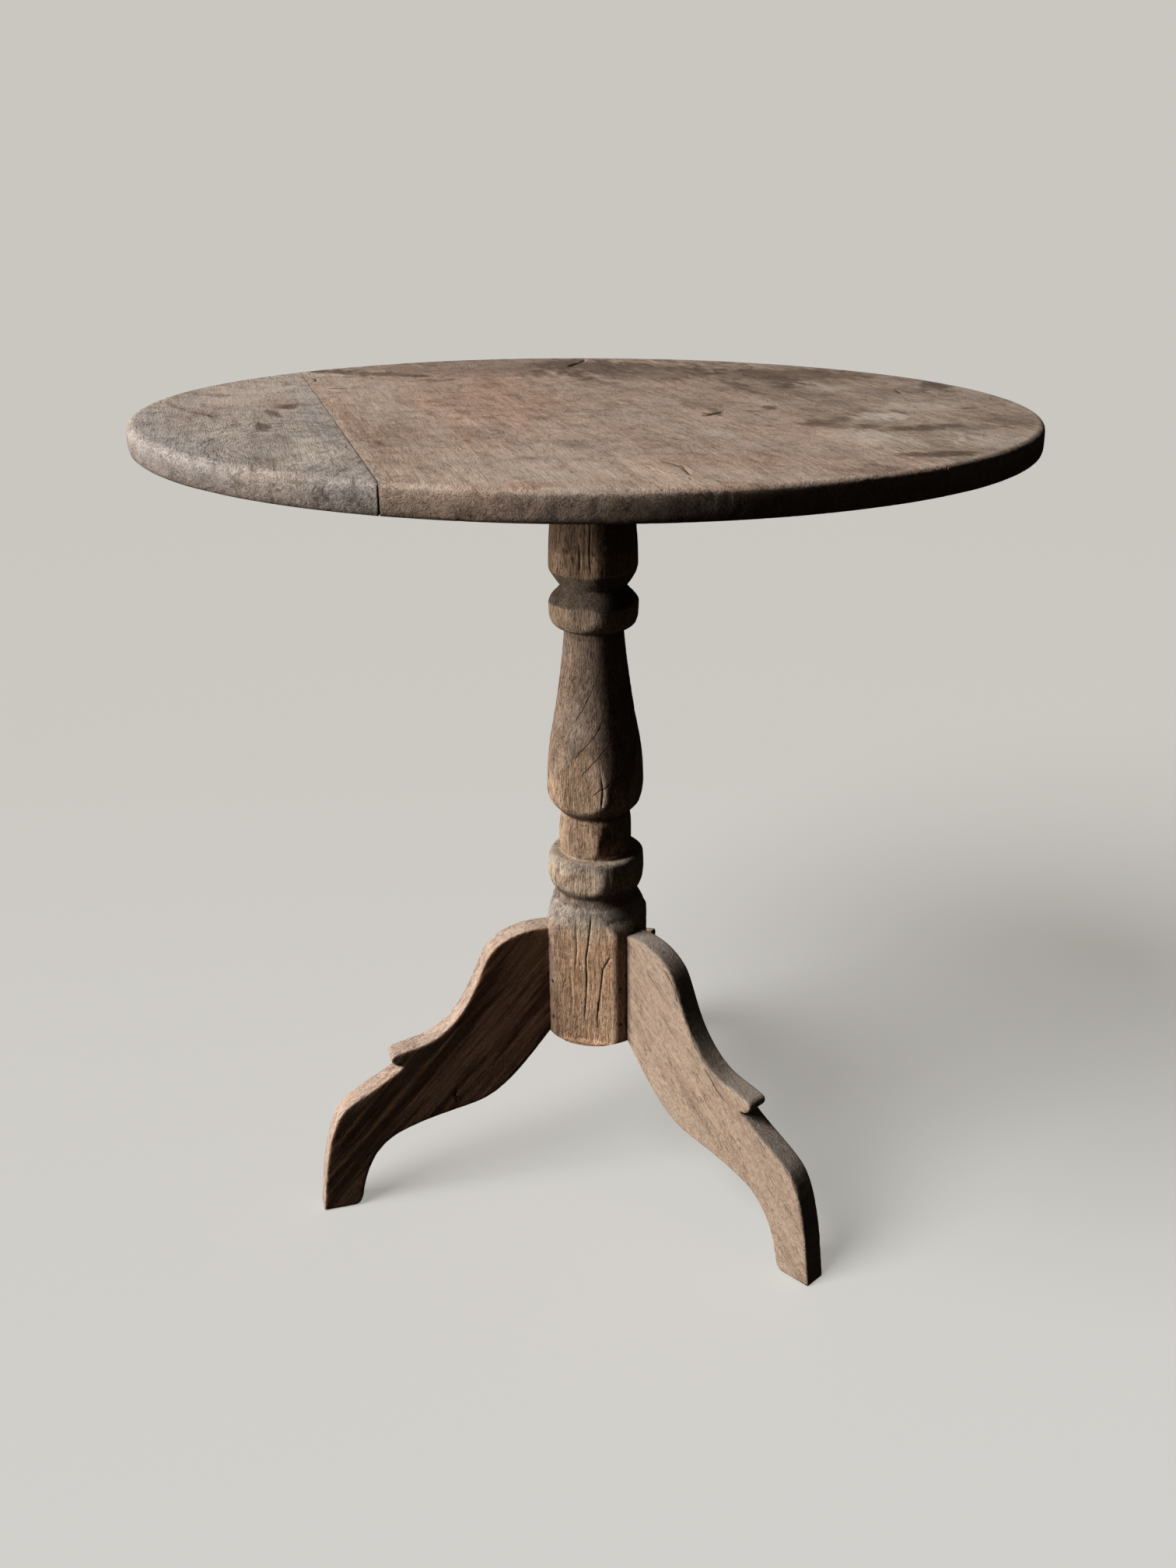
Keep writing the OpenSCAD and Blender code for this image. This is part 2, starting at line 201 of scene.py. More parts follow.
def inside(points, ring):
    """True for each point inside the closed ring."""
    result = np.zeros(len(points), bool)
    x, y = points[:, 0], points[:, 1]
    for a, b in zip(ring, np.roll(ring, -1, axis=0)):
        if a[1] == b[1]:
            continue
        cross = (y < a[1]) != (y < b[1])
        at = a[0] + (y - a[1]) / (b[1] - a[1]) * (b[0] - a[0])
        result ^= cross & (x < at)
    return result


def grid_inside(ring, step, margin, extra):
    """A staggered grid of points inside the ring, with extra points along cracks."""
    low, high = ring.min(0), ring.max(0)
    row_pitch = 0.87 * step
    xs = np.arange(low[0], high[0], step)
    rows = [np.c_[xs + k % 2 * step / 2, np.full(len(xs), y)]
            for k, y in enumerate(np.arange(low[1], high[1], row_pitch))]
    points = np.vstack(rows)
    points = points[inside(points, ring)]
    closed = np.vstack([ring, ring[:1]])
    points = points[line_distance(points, closed)[0] > margin]
    if len(extra):
        extra = extra[inside(extra, ring)]
        extra = extra[line_distance(extra, closed)[0] > margin * 0.6]
        keep = np.ones(len(points), bool)
        for start in range(0, len(extra), 40):
            part = extra[start:start + 40]
            box = (points > part.min(0) - step).all(1) & (points < part.max(0) + step).all(1)
            near = np.linalg.norm(points[box][:, None] - part[None], axis=2).min(1)
            keep[np.flatnonzero(box)[near < step * 0.55]] = False
        points = np.vstack([points[keep], extra])
    return points


def cap(ring, inner):
    """Triangles over ring and inner points; the result indexes ring, then inner."""
    every = np.vstack([ring, inner])
    n = len(ring)
    loop = [(k, (k + 1) % n) for k in range(n)]
    out = delaunay_2d_cdt([tuple(p) for p in every.tolist()], loop, [list(range(n))], 1, 1e-9)
    origin = [o[0] if o else -1 for o in out[3]]
    faces = [[origin[i] for i in f] for f in out[2]]
    return [f for f in faces if min(f) >= 0]


def slab(rings, heights, step_top, step_bottom, extra):
    """A closed board: rings of 2D points from the upper face's edge round to the lower face's,
    each at its height, with gridded faces. Returns points and faces."""
    n = len(rings[0])
    top_inner = grid_inside(rings[0], step_top, step_top * 0.6, extra)
    low_inner = grid_inside(rings[-1], step_bottom, step_bottom * 0.6, np.zeros((0, 2)))
    blocks = [np.c_[flat, np.full(len(flat), h)]
              for flat, h in zip([*rings, top_inner, low_inner], [*heights, heights[0], heights[-1]])]
    faces = tube_faces(len(rings), n, inward=True)
    base = len(rings) * n
    faces += [[i if i < n else base + i - n for i in f] for f in cap(rings[0], top_inner)]
    low = base - n
    low_base = base + len(top_inner)
    faces += [[low + i if i < n else low_base + i - n for i in f[::-1]]
              for f in cap(rings[-1], low_inner)]
    return np.vstack(blocks), faces


def crack_points(cracks, step):
    """Points along each crack's bottom and both its lips."""
    found = [np.zeros((0, 2))]
    for line, width in cracks:
        path = resampled(line, step, False)
        along = np.gradient(path, axis=0)
        along /= length(along)[:, None]
        side = np.c_[-along[:, 1], along[:, 0]]
        found += [path, path + side * width * 0.6, path - side * width * 0.6]
    return np.vstack(found)


def lines_between(lines, low, high):
    """The lines that lie between low and high in X, as points and width in metres."""
    metres = [(np.array(line[0], float) * MM, line[1] * MM) for line in lines]
    return [line for line in metres if low < line[0][:, 0].min() and line[0][:, 0].max() < high]


def opened(points, cracks, start, end):
    """How deep each point lies in the cracks, in metres, and how dark it is there, 0 to 1. A crack
    opens over its length up to start, and closes from end on."""
    sunk, dark = np.zeros((2, len(points)))
    for line, width in cracks:
        far, along = line_distance(points[:, :2], line)
        depth = (1 - smoothstep(0, width, far)) * smoothstep(0, start, along) * smoothstep(1, end, along)
        sunk += depth * width
        dark = np.maximum(dark, depth)
    return sunk, dark


# ---- the top's boards
def disc_ring(radius, x0, x1, n_arc, n_seam):
    """The disc's outline between two seams, counter-clockwise, with the same number of points
    whatever the radius. A seam of None is left out."""
    right = math.acos(x1 / radius) if x1 is not None else 0.0
    left = math.acos(-x0 / radius) if x0 is not None else 0.0
    if x0 is not None and x1 is not None:
        spans = [(right, math.pi - left), (math.pi + left, 2 * math.pi - right)]
    elif x1 is not None:
        spans = [(right, 2 * math.pi - right)]
    else:
        spans = [(-(math.pi - left), math.pi - left)]
    parts = []
    for a, b in spans:
        t = np.linspace(a, b, n_arc)
        arc = np.c_[radius * np.cos(t), radius * np.sin(t)]
        # a straight seam leads from the arc's end to the point across from it
        on_left = x0 is not None and (x1 is None or math.cos(b) < 0)
        across = np.array([x0 if on_left else x1, -arc[-1][1]])
        s = np.linspace(0, 1, n_seam + 2)[1:-1, None]
        parts += [arc, arc[-1] + (across - arc[-1]) * s]
    return np.vstack(parts)


# The rim from the upper face's edge round to the lower face's: inset and drop, in mm
RIM = [(17, 0), (14, 0.05), (11.5, 0.35), (9, 0.95), (6.8, 1.8), (4.8, 2.9), (3, 4.3), (1.6, 5.8),
       (0.7, 7.4), (0.15, 9.2), (0, 11.2), (0, 13.4), (0.1, 15.6), (0.4, 17.8), (1.1, 19.6),
       (2.3, 21.1), (4.2, 21.9), (7, 22)]
# The same for the first rings of an edge along a seam
SEAM_EASE = [(2.2, 0), (1.0, 0), (0.5, 0.02), (0.3, 0.06), (0.2, 0.13), (0.12, 0.25), (0.08, 0.4)]

# Cracks in the top: points in mm, width in mm
TOP_CRACKS = [
    ([(84, 352), (76, 330), (66, 312), (56, 296), (48, 280)], 2.6),
    ([(66, 312), (56, 300), (50, 290)], 2.0),
    ([(72, -82), (86, -69), (99, -56)], 2.2), ([(86, -69), (90, -86)], 1.8),
    ([(86, -69), (80, -60)], 1.6),
    ([(140, -132), (152, -146), (150, -160), (164, -176)], 1.3),
    ([(158, -128), (170, -150), (166, -168)], 1.2), ([(176, -140), (184, -160)], 1.2),
    ([(-300, 128), (-296, 142), (-304, 156)], 1.2), ([(-20, -330), (-16, -300), (-22, -268)], 0.9),
    ([(-214, 262), (-208, 240), (-210, 214)], 0.9), ([(300, 40), (292, 10), (298, -24)], 1.0),
    ([(154, -330), (160, -306), (156, -280)], 1.0),
]

# Drawn lines on the top: points in mm, width in mm, strength (dark below 0, pale above)
TOP_LINES = [
    ([(-336, 108), (-332, 70), (-322, 40), (-308, 8), (-296, -22)], 3.2, -0.7),
    ([(-150, 2), (-100, 13), (-50, 12), (-4, 2), (14, -10)], 4.0, 0.35),
    ([(8, -12), (24, -18)], 3.0, -0.9), ([(-140, 10), (-136, -20)], 2.6, -0.6),
    ([(184, 232), (180, 214), (178, 200)], 3.0, 0.8), ([(158, 64), (166, 50), (164, 20)], 2.6, 0.4),
    ([(258, 130), (244, 90), (238, 50)], 6.0, 0.35), ([(-196, -164), (-200, -140)], 3.0, -0.5),
    ([(30, 30), (36, 16), (44, 24)], 2.6, -0.6), ([(-112, -100), (-110, -126)], 2.4, 0.5),
    ([(226, -198), (234, -214), (226, -230), (214, -250)], 2.4, 0.9),
    ([(206, -226), (212, -244), (204, -262)], 2.2, 0.8), ([(86, -69), (60, -48)], 2.4, 0.6),
    ([(86, -69), (112, -84)], 2.4, 0.5), ([(-306, -30), (-312, 20), (-300, 62)], 2.6, -0.5),
    ([(-60, -280), (-48, -250), (-54, -222)], 2.4, -0.6), ([(20, 210), (30, 240), (24, 268)], 2.6, -0.6),
    ([(-90, 130), (-84, 160), (-92, 186)], 2.6, -0.5), ([(120, 110), (128, 150), (124, 180)], 2.4, -0.6),
]

# Patches on the top: x, y, half sizes, turn in degrees, strength (dark below 0, pale above) and tint
# (grey-blue below 0, red-brown above)
TOP_STAINS = [
    (-275, -55, 5, 19, 3, -1.7, 0.2), (-248, 50, 10, 11, 0, -1.1, 0.4), (-262, 16, 5, 20, 5, -0.8, 0.3),
    (-240, 20, 4, 16, 0, -0.4, 0), (-256, 76, 12, 55, 0, -0.35, 0.5), (-300, 140, 15, 15, 0, -0.7, 0.2),
    (-305, 60, 24, 60, -20, 0.1, 0.8), (-340, -120, 30, 95, 10, 0.0, -1),
    (-238, -270, 22, 50, 5, -0.15, -1), (-350, 10, 14, 60, 0, 0, -0.8),
    (-229, -60, 9, 90, 0, -0.1, -0.9), (-229, 100, 8, 100, 0, 0.1, -0.6),
    (-246, -185, 18, 62, 0, 0.55, 0), (-300, -60, 20, 50, 10, 0.35, 0),
    (-300, -190, 30, 40, 30, -0.2, -0.4), (-190, 296, 28, 16, -15, -1.2, -0.5),
    (-150, 264, 38, 14, -30, -0.9, 0), (-118, 240, 24, 8, -20, -0.6, 0), (-196, 264, 16, 12, 0, 0.6, 0),
    (-197, 162, 8, 3, 0, -1.1, 0), (-206, 20, 7, 60, 0, -0.4, 0.8), (-199, -150, 6, 42, 4, -0.35, 0.8),
    (-170, 100, 30, 150, 0, 0.25, 0), (-80, 60, 55, 200, 0, 0, 0.9), (-132, -60, 9, 300, 0, 0, 0.6),
    (-50, 190, 24, 90, 0, 0.05, 0.8), (45, 170, 12, 100, 15, -0.5, 0), (110, 230, 85, 85, 0, -0.65, 0),
    (60, 300, 50, 40, -20, -0.6, -0.6), (100, -20, 34, 40, 0, -0.35, 0),
    (-65, -190, 12, 30, 0, -0.5, 0), (-108, -240, 12, 9, 0, -0.6, 0), (100, -330, 26, 16, 20, -0.8, 0),
    (0, -362, 22, 8, 0, -0.4, 0.9), (-140, -330, 30, 14, 0, -0.4, 0.3), (86, -69, 8, 8, 30, -1.5, 0.3),
    (143, -45, 7, 13, -10, -1.3, 0), (126, -62, 12, 12, 0, -0.6, 0), (160, -130, 28, 12, 30, -0.8, 0),
    (150, -152, 30, 14, -30, -0.7, 0), (182, -166, 15, 15, 0, -0.9, 0),
    (212, -122, 25, 18, 30, 0.95, -0.7), (238, -100, 4, 17, 0, -1.1, 0),
    (268, -70, 34, 30, 0, 0.6, 0.2), (308, -92, 7, 4, 20, -0.9, 1), (160, -212, 30, 46, 0, 0.65, 0),
    (122, -200, 16, 50, 0, 0.3, 0.6), (236, -250, 32, 22, 30, 0.55, 0),
    (215, -183, 38, 13, 10, -0.9, 0), (256, -192, 26, 12, 20, -0.6, 0), (172, -290, 28, 9, -5, -1.1, 0),
    (240, 170, 90, 60, -40, -0.8, 0.2), (200, 60, 40, 60, 0, -0.45, 0), (292, 20, 40, 40, 0, -0.35, 0),
    (165, 90, 10, 60, 0, -0.5, 0), (345, 60, 14, 55, -20, -0.9, -0.3), (40, -120, 26, 60, 0, 0.2, 0),
    (20, -280, 60, 30, 0, -0.25, 0.2), (-20, 330, 60, 30, 0, 0.1, 0), (300, -160, 20, 40, -30, -0.5, 0),
    (-270, 150, 60, 90, 0, 0.35, 0.5), (-290, -150, 60, 120, 0, 0.0, -0.2),
    (-30, -315, 150, 60, 0, 0.25, 0.4), (-20, 300, 150, 90, 0, -0.55, -0.1),
    (-120, -140, 14, 70, 8, -0.35, 0.2), (-30, 60, 16, 90, -6, -0.3, 0.2),
    (60, -200, 14, 60, 6, 0.3, 0), (-130, -250, 70, 110, 0, 0.3, 0.3), (-60, -90, 9, 34, 0, 0.3, 0),
    (20, 120, 9, 40, 5, 0.3, 0), (-10, -30, 30, 12, 0, -0.4, 0), (-100, 200, 20, 14, 20, -0.5, 0),
    (110, -280, 18, 30, 0, -0.4, 0), (240, 60, 30, 24, 30, 0.35, 0), (220, 120, 16, 40, -20, -0.5, 0),
    (280, 110, 20, 22, 0, 0.3, 0.2),
]


def stain_field(points, seed):
    """Soft-edged patches: how dark or pale the wood is, and its tint, at each point."""
    wander = np.c_[noise(points, 24, seed, 4), noise(points, 24, seed + 50, 4)]
    ragged = 0.35 * noise(points, (7, 16, 10), seed + 90, 3)
    tone, tint = np.zeros(len(points)), np.zeros(len(points))
    for x, y, rx, ry, turn, strength, hue in TOP_STAINS:
        d = points[:, :2] - (x * MM, y * MM) + wander * min(min(rx, ry) * 0.9, 14) * MM
        u, v = seen_turned(d[:, 0], d[:, 1], math.radians(turn))
        far = np.sqrt((u / (rx * MM))**2 + (v / (ry * MM))**2) + 1.7 * ragged
        share = 1 - smoothstep(0.45, 1.35, far)
        tone += strength * share
        tint += hue * share
    for line, width, strength in TOP_LINES:
        far, along = line_distance(points[:, :2], np.array(line, float) * MM)
        share = 1 - smoothstep(0.3 * width * MM, width * MM, far + np.abs(ragged) * MM)
        tone += strength * share * smoothstep(0, 0.1, along) * smoothstep(1, 0.9, along)
    return tone, tint


def crisper_rim(points, crisp, seams):
    """The upper rounding of the rim drawn in to less than half its size, where crisp is 1. Points by a
    seam keep their distance from it."""
    face_inset = RIM[0][0]
    reach = 60
    p = points.copy()
    radius = length(p[:, :2])
    inset = (TOP_R - radius) / MM
    shrink = 1 - 0.6 * crisp
    near = inset * shrink
    far = face_inset * shrink + (inset - face_inset) * (reach - face_inset * shrink) / (reach - face_inset)
    moved = np.where(inset < face_inset, near, np.where(inset < reach, far, inset))
    wanted = TOP_R - moved * MM
    p[:, :2] *= (wanted / np.maximum(radius, 1e-6))[:, None]
    for seam in seams:
        hold = smoothstep(20 * MM, 5 * MM, np.abs(points[:, 0] - seam)) * (inset < reach)
        p[:, 0] += hold * (points[:, 0] - p[:, 0])
        level = np.sqrt(np.maximum(wanted**2 - p[:, 0]**2, 0)) * np.sign(points[:, 1])
        p[:, 1] = np.where(hold > 0, level, p[:, 1])
    drop = (TOP_Z - p[:, 2]) / MM
    p[:, 2] = TOP_Z - drop * (1 - 0.5 * crisp * smoothstep(16, 6, drop)) * MM
    return p


# Points along an arc of the middle board and of the outer ones, and along each seam
MIDDLE_ARC = 250
OUTER_ARC = int(0.85 * TOP_R / MM)
SEAM_POINTS = 300
# Grid steps of the boards' upper and lower faces, and the step of points along cracks
FACE_STEP = 2.3 * MM
UNDER_STEP = 7 * MM
CRACK_STEP = 1.6 * MM
# How many rings keep a seam's own edge, and how many make the rim's upper rounding
SEAM_RINGS = 14
UPPER_RINGS = 11
# The direction in which the rim is crispest, in radians
CRISP_AT = -0.7


def board(name, x0, x1, seed):
    """One board of the round top, between the seams x0 and x1 (None where the rim closes it)."""
    seams = [seam for seam in (x0, x1) if seam is not None]
    n_arc = MIDDLE_ARC if len(seams) == 2 else OUTER_ARC
    rings, heights = [], []
    for k, (inset, drop) in enumerate(RIM):
        ease = SEAM_EASE[min(k, len(SEAM_EASE) - 1)][0]
        if k >= SEAM_RINGS:
            ease = 0.08 + 0.15 * (k - SEAM_RINGS + 1)
        rings.append(disc_ring(TOP_R - inset * MM,
                               x0 + ease * MM if x0 is not None else None,
                               x1 - ease * MM if x1 is not None else None, n_arc, SEAM_POINTS))
        heights.append(TOP_Z - drop * MM)
    # only the cracks and lines that lie well inside this board
    low = -1 if x0 is None else x0 + 2 * MM
    high = 1 if x1 is None else x1 - 2 * MM
    cracks = lines_between(TOP_CRACKS, low, high)
    extra = crack_points(cracks + lines_between(TOP_LINES, low, high), CRACK_STEP)
    points, faces = slab(rings, heights, FACE_STEP, UNDER_STEP, extra)
    ring_of = np.full(len(points), -1)
    ring_of[:len(rings[0]) * len(rings)] = np.repeat(np.arange(len(rings)), len(rings[0]))
    radius = length(points[:, :2])
    on_seam = np.zeros(len(points), bool)
    for seam in seams:
        on_seam |= (np.abs(points[:, 0] - seam) < 2.2 * MM) & (ring_of >= 0)
    # a seam's rings keep close to the upper face until the seam's own edge, but where the rim runs
    # into the seam, its drop takes over
    insets, rim_drop = np.array(RIM, float).T
    seam_drop = rim_drop.copy()
    seam_drop[:len(SEAM_EASE)] = [drop for _, drop in SEAM_EASE]
    ring_index = np.maximum(ring_of, 0)
    corner = smoothstep(0.5 * MM, 3 * MM, TOP_R - radius - insets[ring_index] * MM)
    drop = rim_drop[ring_index] * (1 - corner) + seam_drop[ring_index] * corner
    rim_fall = np.interp((TOP_R - radius) / MM, insets[:UPPER_RINGS][::-1], rim_drop[:UPPER_RINGS][::-1])
    drop = np.where(ring_of < UPPER_RINGS, np.maximum(drop, rim_fall), drop)
    points[on_seam, 2] = TOP_Z - drop[on_seam] * MM
    plan = points.copy()
    turn = np.arctan2(plan[:, 1], plan[:, 0])
    crisp = 0.78 + 0.22 * smoothstep(-0.35, 0.75, np.cos(turn - CRISP_AT))
    points = crisper_rim(plan, crisp, seams)
    radius = length(points[:, :2])
    from_rim = TOP_R - radius
    normals = vertex_normals(points, faces)
    upper = smoothstep(0.2, 0.9, normals[:, 2])
    # gentle hollows of wear, then weathered grain
    sink = 0.22 + 0.22 * noise(points, (90, 160, 90), seed, 2)
    sink += 0.10 * np.abs(noise(points, (5, 70, 5), seed + 1, 2))
    sink += 0.10 * smoothstep(0.25, 0.7, noise(points, (9, 14, 9), seed + 2, 2))
    p = points - normals * (sink * upper * MM)[:, None]
    # the rim is knocked about: long dents, and short splits where the end grain comes out
    wobble = 0.5 + 0.5 * noise(points, (40, 40, 60), seed + 3, 2)
    dents = 0.9 * smoothstep(0.30, 0.8, noise(points, (13, 13, 7), seed + 4, 3))
    turn = np.arctan2(points[:, 1], points[:, 0])
    chatter = noise(np.c_[turn * TOP_R, points[:, 2], 0 * turn], (4.5, 3.0, 9), seed + 5, 3)
    grain_end = np.abs(points[:, 1]) / np.maximum(radius, 1e-6)
    chatter = smoothstep(0.15, 0.75, chatter) * (0.4 + 0.6 * grain_end**2)
    rim_near = smoothstep(16 * MM, 3 * MM, from_rim)
    inward = (wobble + dents + 0.5 * chatter) * rim_near * (1 - 0.75 * upper)
    for seam in seams:
        # the seams' edges are held
        held = smoothstep(3 * MM, 0.5 * MM, np.abs(points[:, 0] - seam))
        inward = inward * (1 - 0.6 * held)
    outward = points[:, :2] / np.maximum(radius, 1e-6)[:, None]
    p[:, :2] -= outward * (inward * MM)[:, None]
    sunk, crack = opened(points, cracks, 0.12, 0.85)
    crack *= upper > 0.3
    p[:, 2] -= 0.9 * sunk * (upper > 0.3)
    # a thin dark line along each seam, the left one's darker
    for seam in seams:
        tight = 0.6 if seam == SEAM_LEFT else 0.3
        tight = tight * (0.75 + 0.25 * smoothstep(0.1, -0.3, plan[:, 1]))
        crack = np.maximum(crack, tight * smoothstep(0.9 * MM, 0.2 * MM, np.abs(plan[:, 0] - seam)))
    p[:, 0] = np.clip(p[:, 0], (x0 or -1) + 0.02 * MM, (x1 or 1) - 0.02 * MM)
    p[:, 2] = np.clip(p[:, 2], UNDER_Z, TOP_Z)
    stain_and_shadow, tint = stain_field(plan, 5)
    # the marks are on the upper face only, and the rim is darker below its rounding
    shown = smoothstep(-0.5, 0.2, normals[:, 2])
    stain_and_shadow = stain_and_shadow * shown - 0.25 * (1 - shown)
    low_down = smoothstep(6 * MM, 13 * MM, TOP_Z - points[:, 2])
    stain_and_shadow -= 0.45 * low_down * smoothstep(20 * MM, 6 * MM, from_rim)
    # a pale band along the rim's upper rounding, where it faces up: painted highlight, carried in the wear
    # attribute
    rim_light = 0.6 * smoothstep(12 * MM, 4 * MM, from_rim) * smoothstep(0.1, 0.6, normals[:, 2])
    return make_object(name, p, faces,
                       {"stain_and_shadow": stain_and_shadow, "tint": tint * shown, "crack": crack, "wear_and_highlight": rim_light})


# ---- the legs
def leg_outline():
    """The leg's side view: distance from the column's axis and height, in mm."""
    return np.vstack([
        [(42, 278), (50, 278)],
        curve((50, 278), (70, 279.5), (92, 275), (107, 259), 8),
        curve((107, 259), (118, 246), (122, 216), (143, 192), 8),
        curve((143, 192), (153, 180), (166, 171), (181, 168.5), 5),
        [(203, 163)],
        curve((203, 163), (209, 161), (209, 154), (200, 149), 5),
        [(195, 149)],
        curve((195, 149), (210, 137), (230, 128), (247, 116), 5),
        curve((247, 116), (263, 106), (270, 80), (276, 44), 8),
        [(281, 0), (249, 0)],
        curve((249, 0), (243.5, 1), (241, 8), (240, 18), 4),
        curve((240, 18), (234, 50), (218, 71), (195, 78), 8),
        curve((195, 78), (172, 87), (150, 90), (125, 96), 6),
        curve((125, 96), (98, 103), (75, 133), (50, 165), 8),
        [(42, 165)],
    ]) * MM


# Cracks in the flanks, as for the top
LEG_CRACKS = {
    "leg_left": [([(146, 98), (147, 108), (145, 118)], 0.9), ([(147, 108), (140, 102)], 0.8)],
    "leg_right": [([(98, 262), (112, 246), (118, 228)], 1.0), ([(150, 178), (166, 160), (180, 150)], 0.9)],
    "leg_rear": [([(100, 250), (112, 236), (120, 220)], 1.2)],
}


def smoothed_ring(ring, sigma, step):
    """A closed ring with its corners rounded off, by a bell-shaped average along it."""
    reach = int(3 * sigma / step) + 1
    at = np.arange(-reach, reach + 1)
    weight = np.exp(-0.5 * (at * step / sigma)**2)
    weight /= weight.sum()
    return sum(w * np.roll(ring, -k, axis=0) for k, w in zip(at, weight))


# The legs' slope, in degrees down from level
LEG_SLOPE = 48
# The step along a leg's outline, of its flanks' grid, and of points along cracks
LEG_STEP = 1.35 * MM
FLANK_STEP = 1.5 * MM
LEG_CRACK_STEP = 1.2 * MM
# The flanks' worn edge: inset and drop, in mm
LEG_EASE = [(3.4, 0), (2.4, 0.08), (1.6, 0.3), (1.0, 0.65), (0.5, 1.2), (0.15, 1.9), (0, 2.9)]


def leg(name, seed):
    """One leg: its outline as wide as the leg is thick, stood up in its own direction."""
    ring = smoothed_ring(resampled(leg_outline()[::-1], LEG_STEP, True), 1.5 * MM, LEG_STEP)
    if name == "leg_rear":
        # its crest is lower, where it meets the column
        ring[:, 1] -= 6 * MM * smoothstep(225, 272, ring[:, 1] / MM)
    ring[:, 1] = np.maximum(ring[:, 1], 0)
    tangent = np.roll(ring, -1, axis=0) - np.roll(ring, 1, axis=0)
    tangent = smoothed_ring(tangent, 1.2 * MM, LEG_STEP)
    tangent /= length(tangent)[:, None]
    inward = np.c_[-tangent[:, 1], tangent[:, 0]]
    half = LEG_T / 2
    across = [half - k * LEG_T / 14 for k in range(3, 12)]
    edge_rings = [ring + inward * i * MM for i, _ in LEG_EASE]
    edge_heights = [half - d * MM for _, d in LEG_EASE]
    rings = edge_rings + [ring for _ in across] + edge_rings[::-1]
    heights = edge_heights + across + [-h for h in edge_heights[::-1]]
    cracks = lines_between(LEG_CRACKS[name], -1, 1)
    points, faces = slab(rings, heights, FLANK_STEP, FLANK_STEP, crack_points(cracks, LEG_CRACK_STEP))
    normals = vertex_normals(points, faces)
    flank = smoothstep(0.6, 0.95, np.abs(normals[:, 2]))
    # grain runs down the leg's slope, from the column to the foot
    turned = np.c_[(*seen_turned(points[:, 0], points[:, 1], math.radians(-LEG_SLOPE)), points[:, 2])]
    sink = 0.18 + 0.18 * noise(turned, (120, 40, 20), seed, 2)
    sink += 0.22 * np.abs(noise(turned, (60, 3.2, 8), seed + 1, 2)) * flank
    edge = smoothstep(3.6 * MM, 0.6 * MM, half - np.abs(points[:, 2])) * (1 - flank)
    sink += 0.8 * smoothstep(0.15, 0.8, noise(turned, (14, 10, 8), seed + 2, 2)) * edge
    sink += 0.35 * np.abs(noise(points, (6, 6, 14), seed + 3, 2)) * (1 - flank)
    p = points - normals * (sink * MM)[:, None]
    sunk, crack = opened(points, cracks, 0.15, 0.8)
    p[:, 2] -= 0.8 * np.sign(points[:, 2]) * sunk * flank
    # the foot stands flat
    foot = smoothstep(6 * MM, 0, points[:, 1])
    p[:, 1] = np.maximum(p[:, 1], 0)
    p[points[:, 1] < 0.05 * MM, 1] = 0
    ahead, aside = seen_turned(p[:, 0], p[:, 2], math.radians(LEG_ANGLES[name]))
    stain_and_shadow = 0.55 * noise(turned, (150, 16, 20), seed + 4, 3) - 0.3 * foot
    return make_object(name + "_wood", np.c_[ahead, -aside, p[:, 1]], faces,
                       {"stain_and_shadow": stain_and_shadow, "crack": crack * flank, "wear_and_highlight": 1 - flank})


# ---- the column
FOOT_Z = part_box("column")[0][2] / MM
BASE_R = 52.4


def column_profile():
    """The turned outline as radius and height in mm, from the foot up."""
    return np.vstack([
        [(0, FOOT_Z), (BASE_R - 6, FOOT_Z)],
        curve((BASE_R - 6, FOOT_Z), (BASE_R - 2, FOOT_Z), (BASE_R, FOOT_Z + 2), (BASE_R, FOOT_Z + 6), 6),
        [(BASE_R, 276)],
        curve((BASE_R, 276), (BASE_R, 284), (48, 288), (46.2, 292), 8),
        curve((46.2, 292), (44.5, 300), (39, 304), (38.4, 311.5), 10),
        curve((38.4, 311.5), (41, 314), (45.4, 320), (46, 329), 10),
        [(46.1, 335), (45.4, 344)],
        curve((45.4, 344), (45, 348), (43.5, 350), (40.5, 350.5), 6),
        [(33.2, 350.2)],
        curve((33.2, 350.2), (36.6, 360), (37, 376), (31.4, 390), 14),
        curve((31.4, 390), (37, 395.5), (45.2, 401), (46.3, 415), 14),
        curve((46.3, 415), (46.8, 440), (40.5, 466), (35.6, 495), 16),
        curve((35.6, 495), (32.2, 516), (28.2, 545), (27, 566), 14),
        curve((27, 566), (33, 567), (39.6, 570), (40.8, 581), 14),
        [(41, 589)],
        curve((41, 589), (41, 592.5), (38.5, 596), (34.2, 600), 8),
        [(29.6, 605), (34.4, 611), (38.2, 617)],
        curve((38.2, 617), (39.6, 619), (40.5, 621), (40.6, 624), 6),
        curve((40.6, 624), (40.9, 645), (37.5, 668), (34.5, BLOCK_BOTTOM / MM), 14),
        [(19, BLOCK_BOTTOM / MM), (19, TENON_TOP / MM), (0, TENON_TOP / MM)],
    ]) * MM


# Flats: direction in degrees, distance from the axis in mm, inward lean in degrees, lowest and highest
# z in mm. First the four of the billet, below and above the lowest turning, then the hand-cut ones of
# the bulb and of the belly.
FLATS = [(240 + 90 * k, *flat) for flat in ((42.6, 0.0, 160, 303), (43.3, 0.95, 313, 700))
         for k in range(4)]
FLATS += [(angle, far, 0.0, 352, 388) for angle, far in
          [(231, 32.2), (284, 32.6), (338, 32.4), (33, 32.6), (88, 32.9), (138, 32.3), (186, 33.0)]]
FLATS += [(angle, far, lean, 396, high) for angle, far, lean, high in
          [(232, 43.4, -2.0, 432), (268, 43.7, -2.0, 446), (306, 43.5, -1.5, 430), (196, 43.8, -2.0, 424)]]

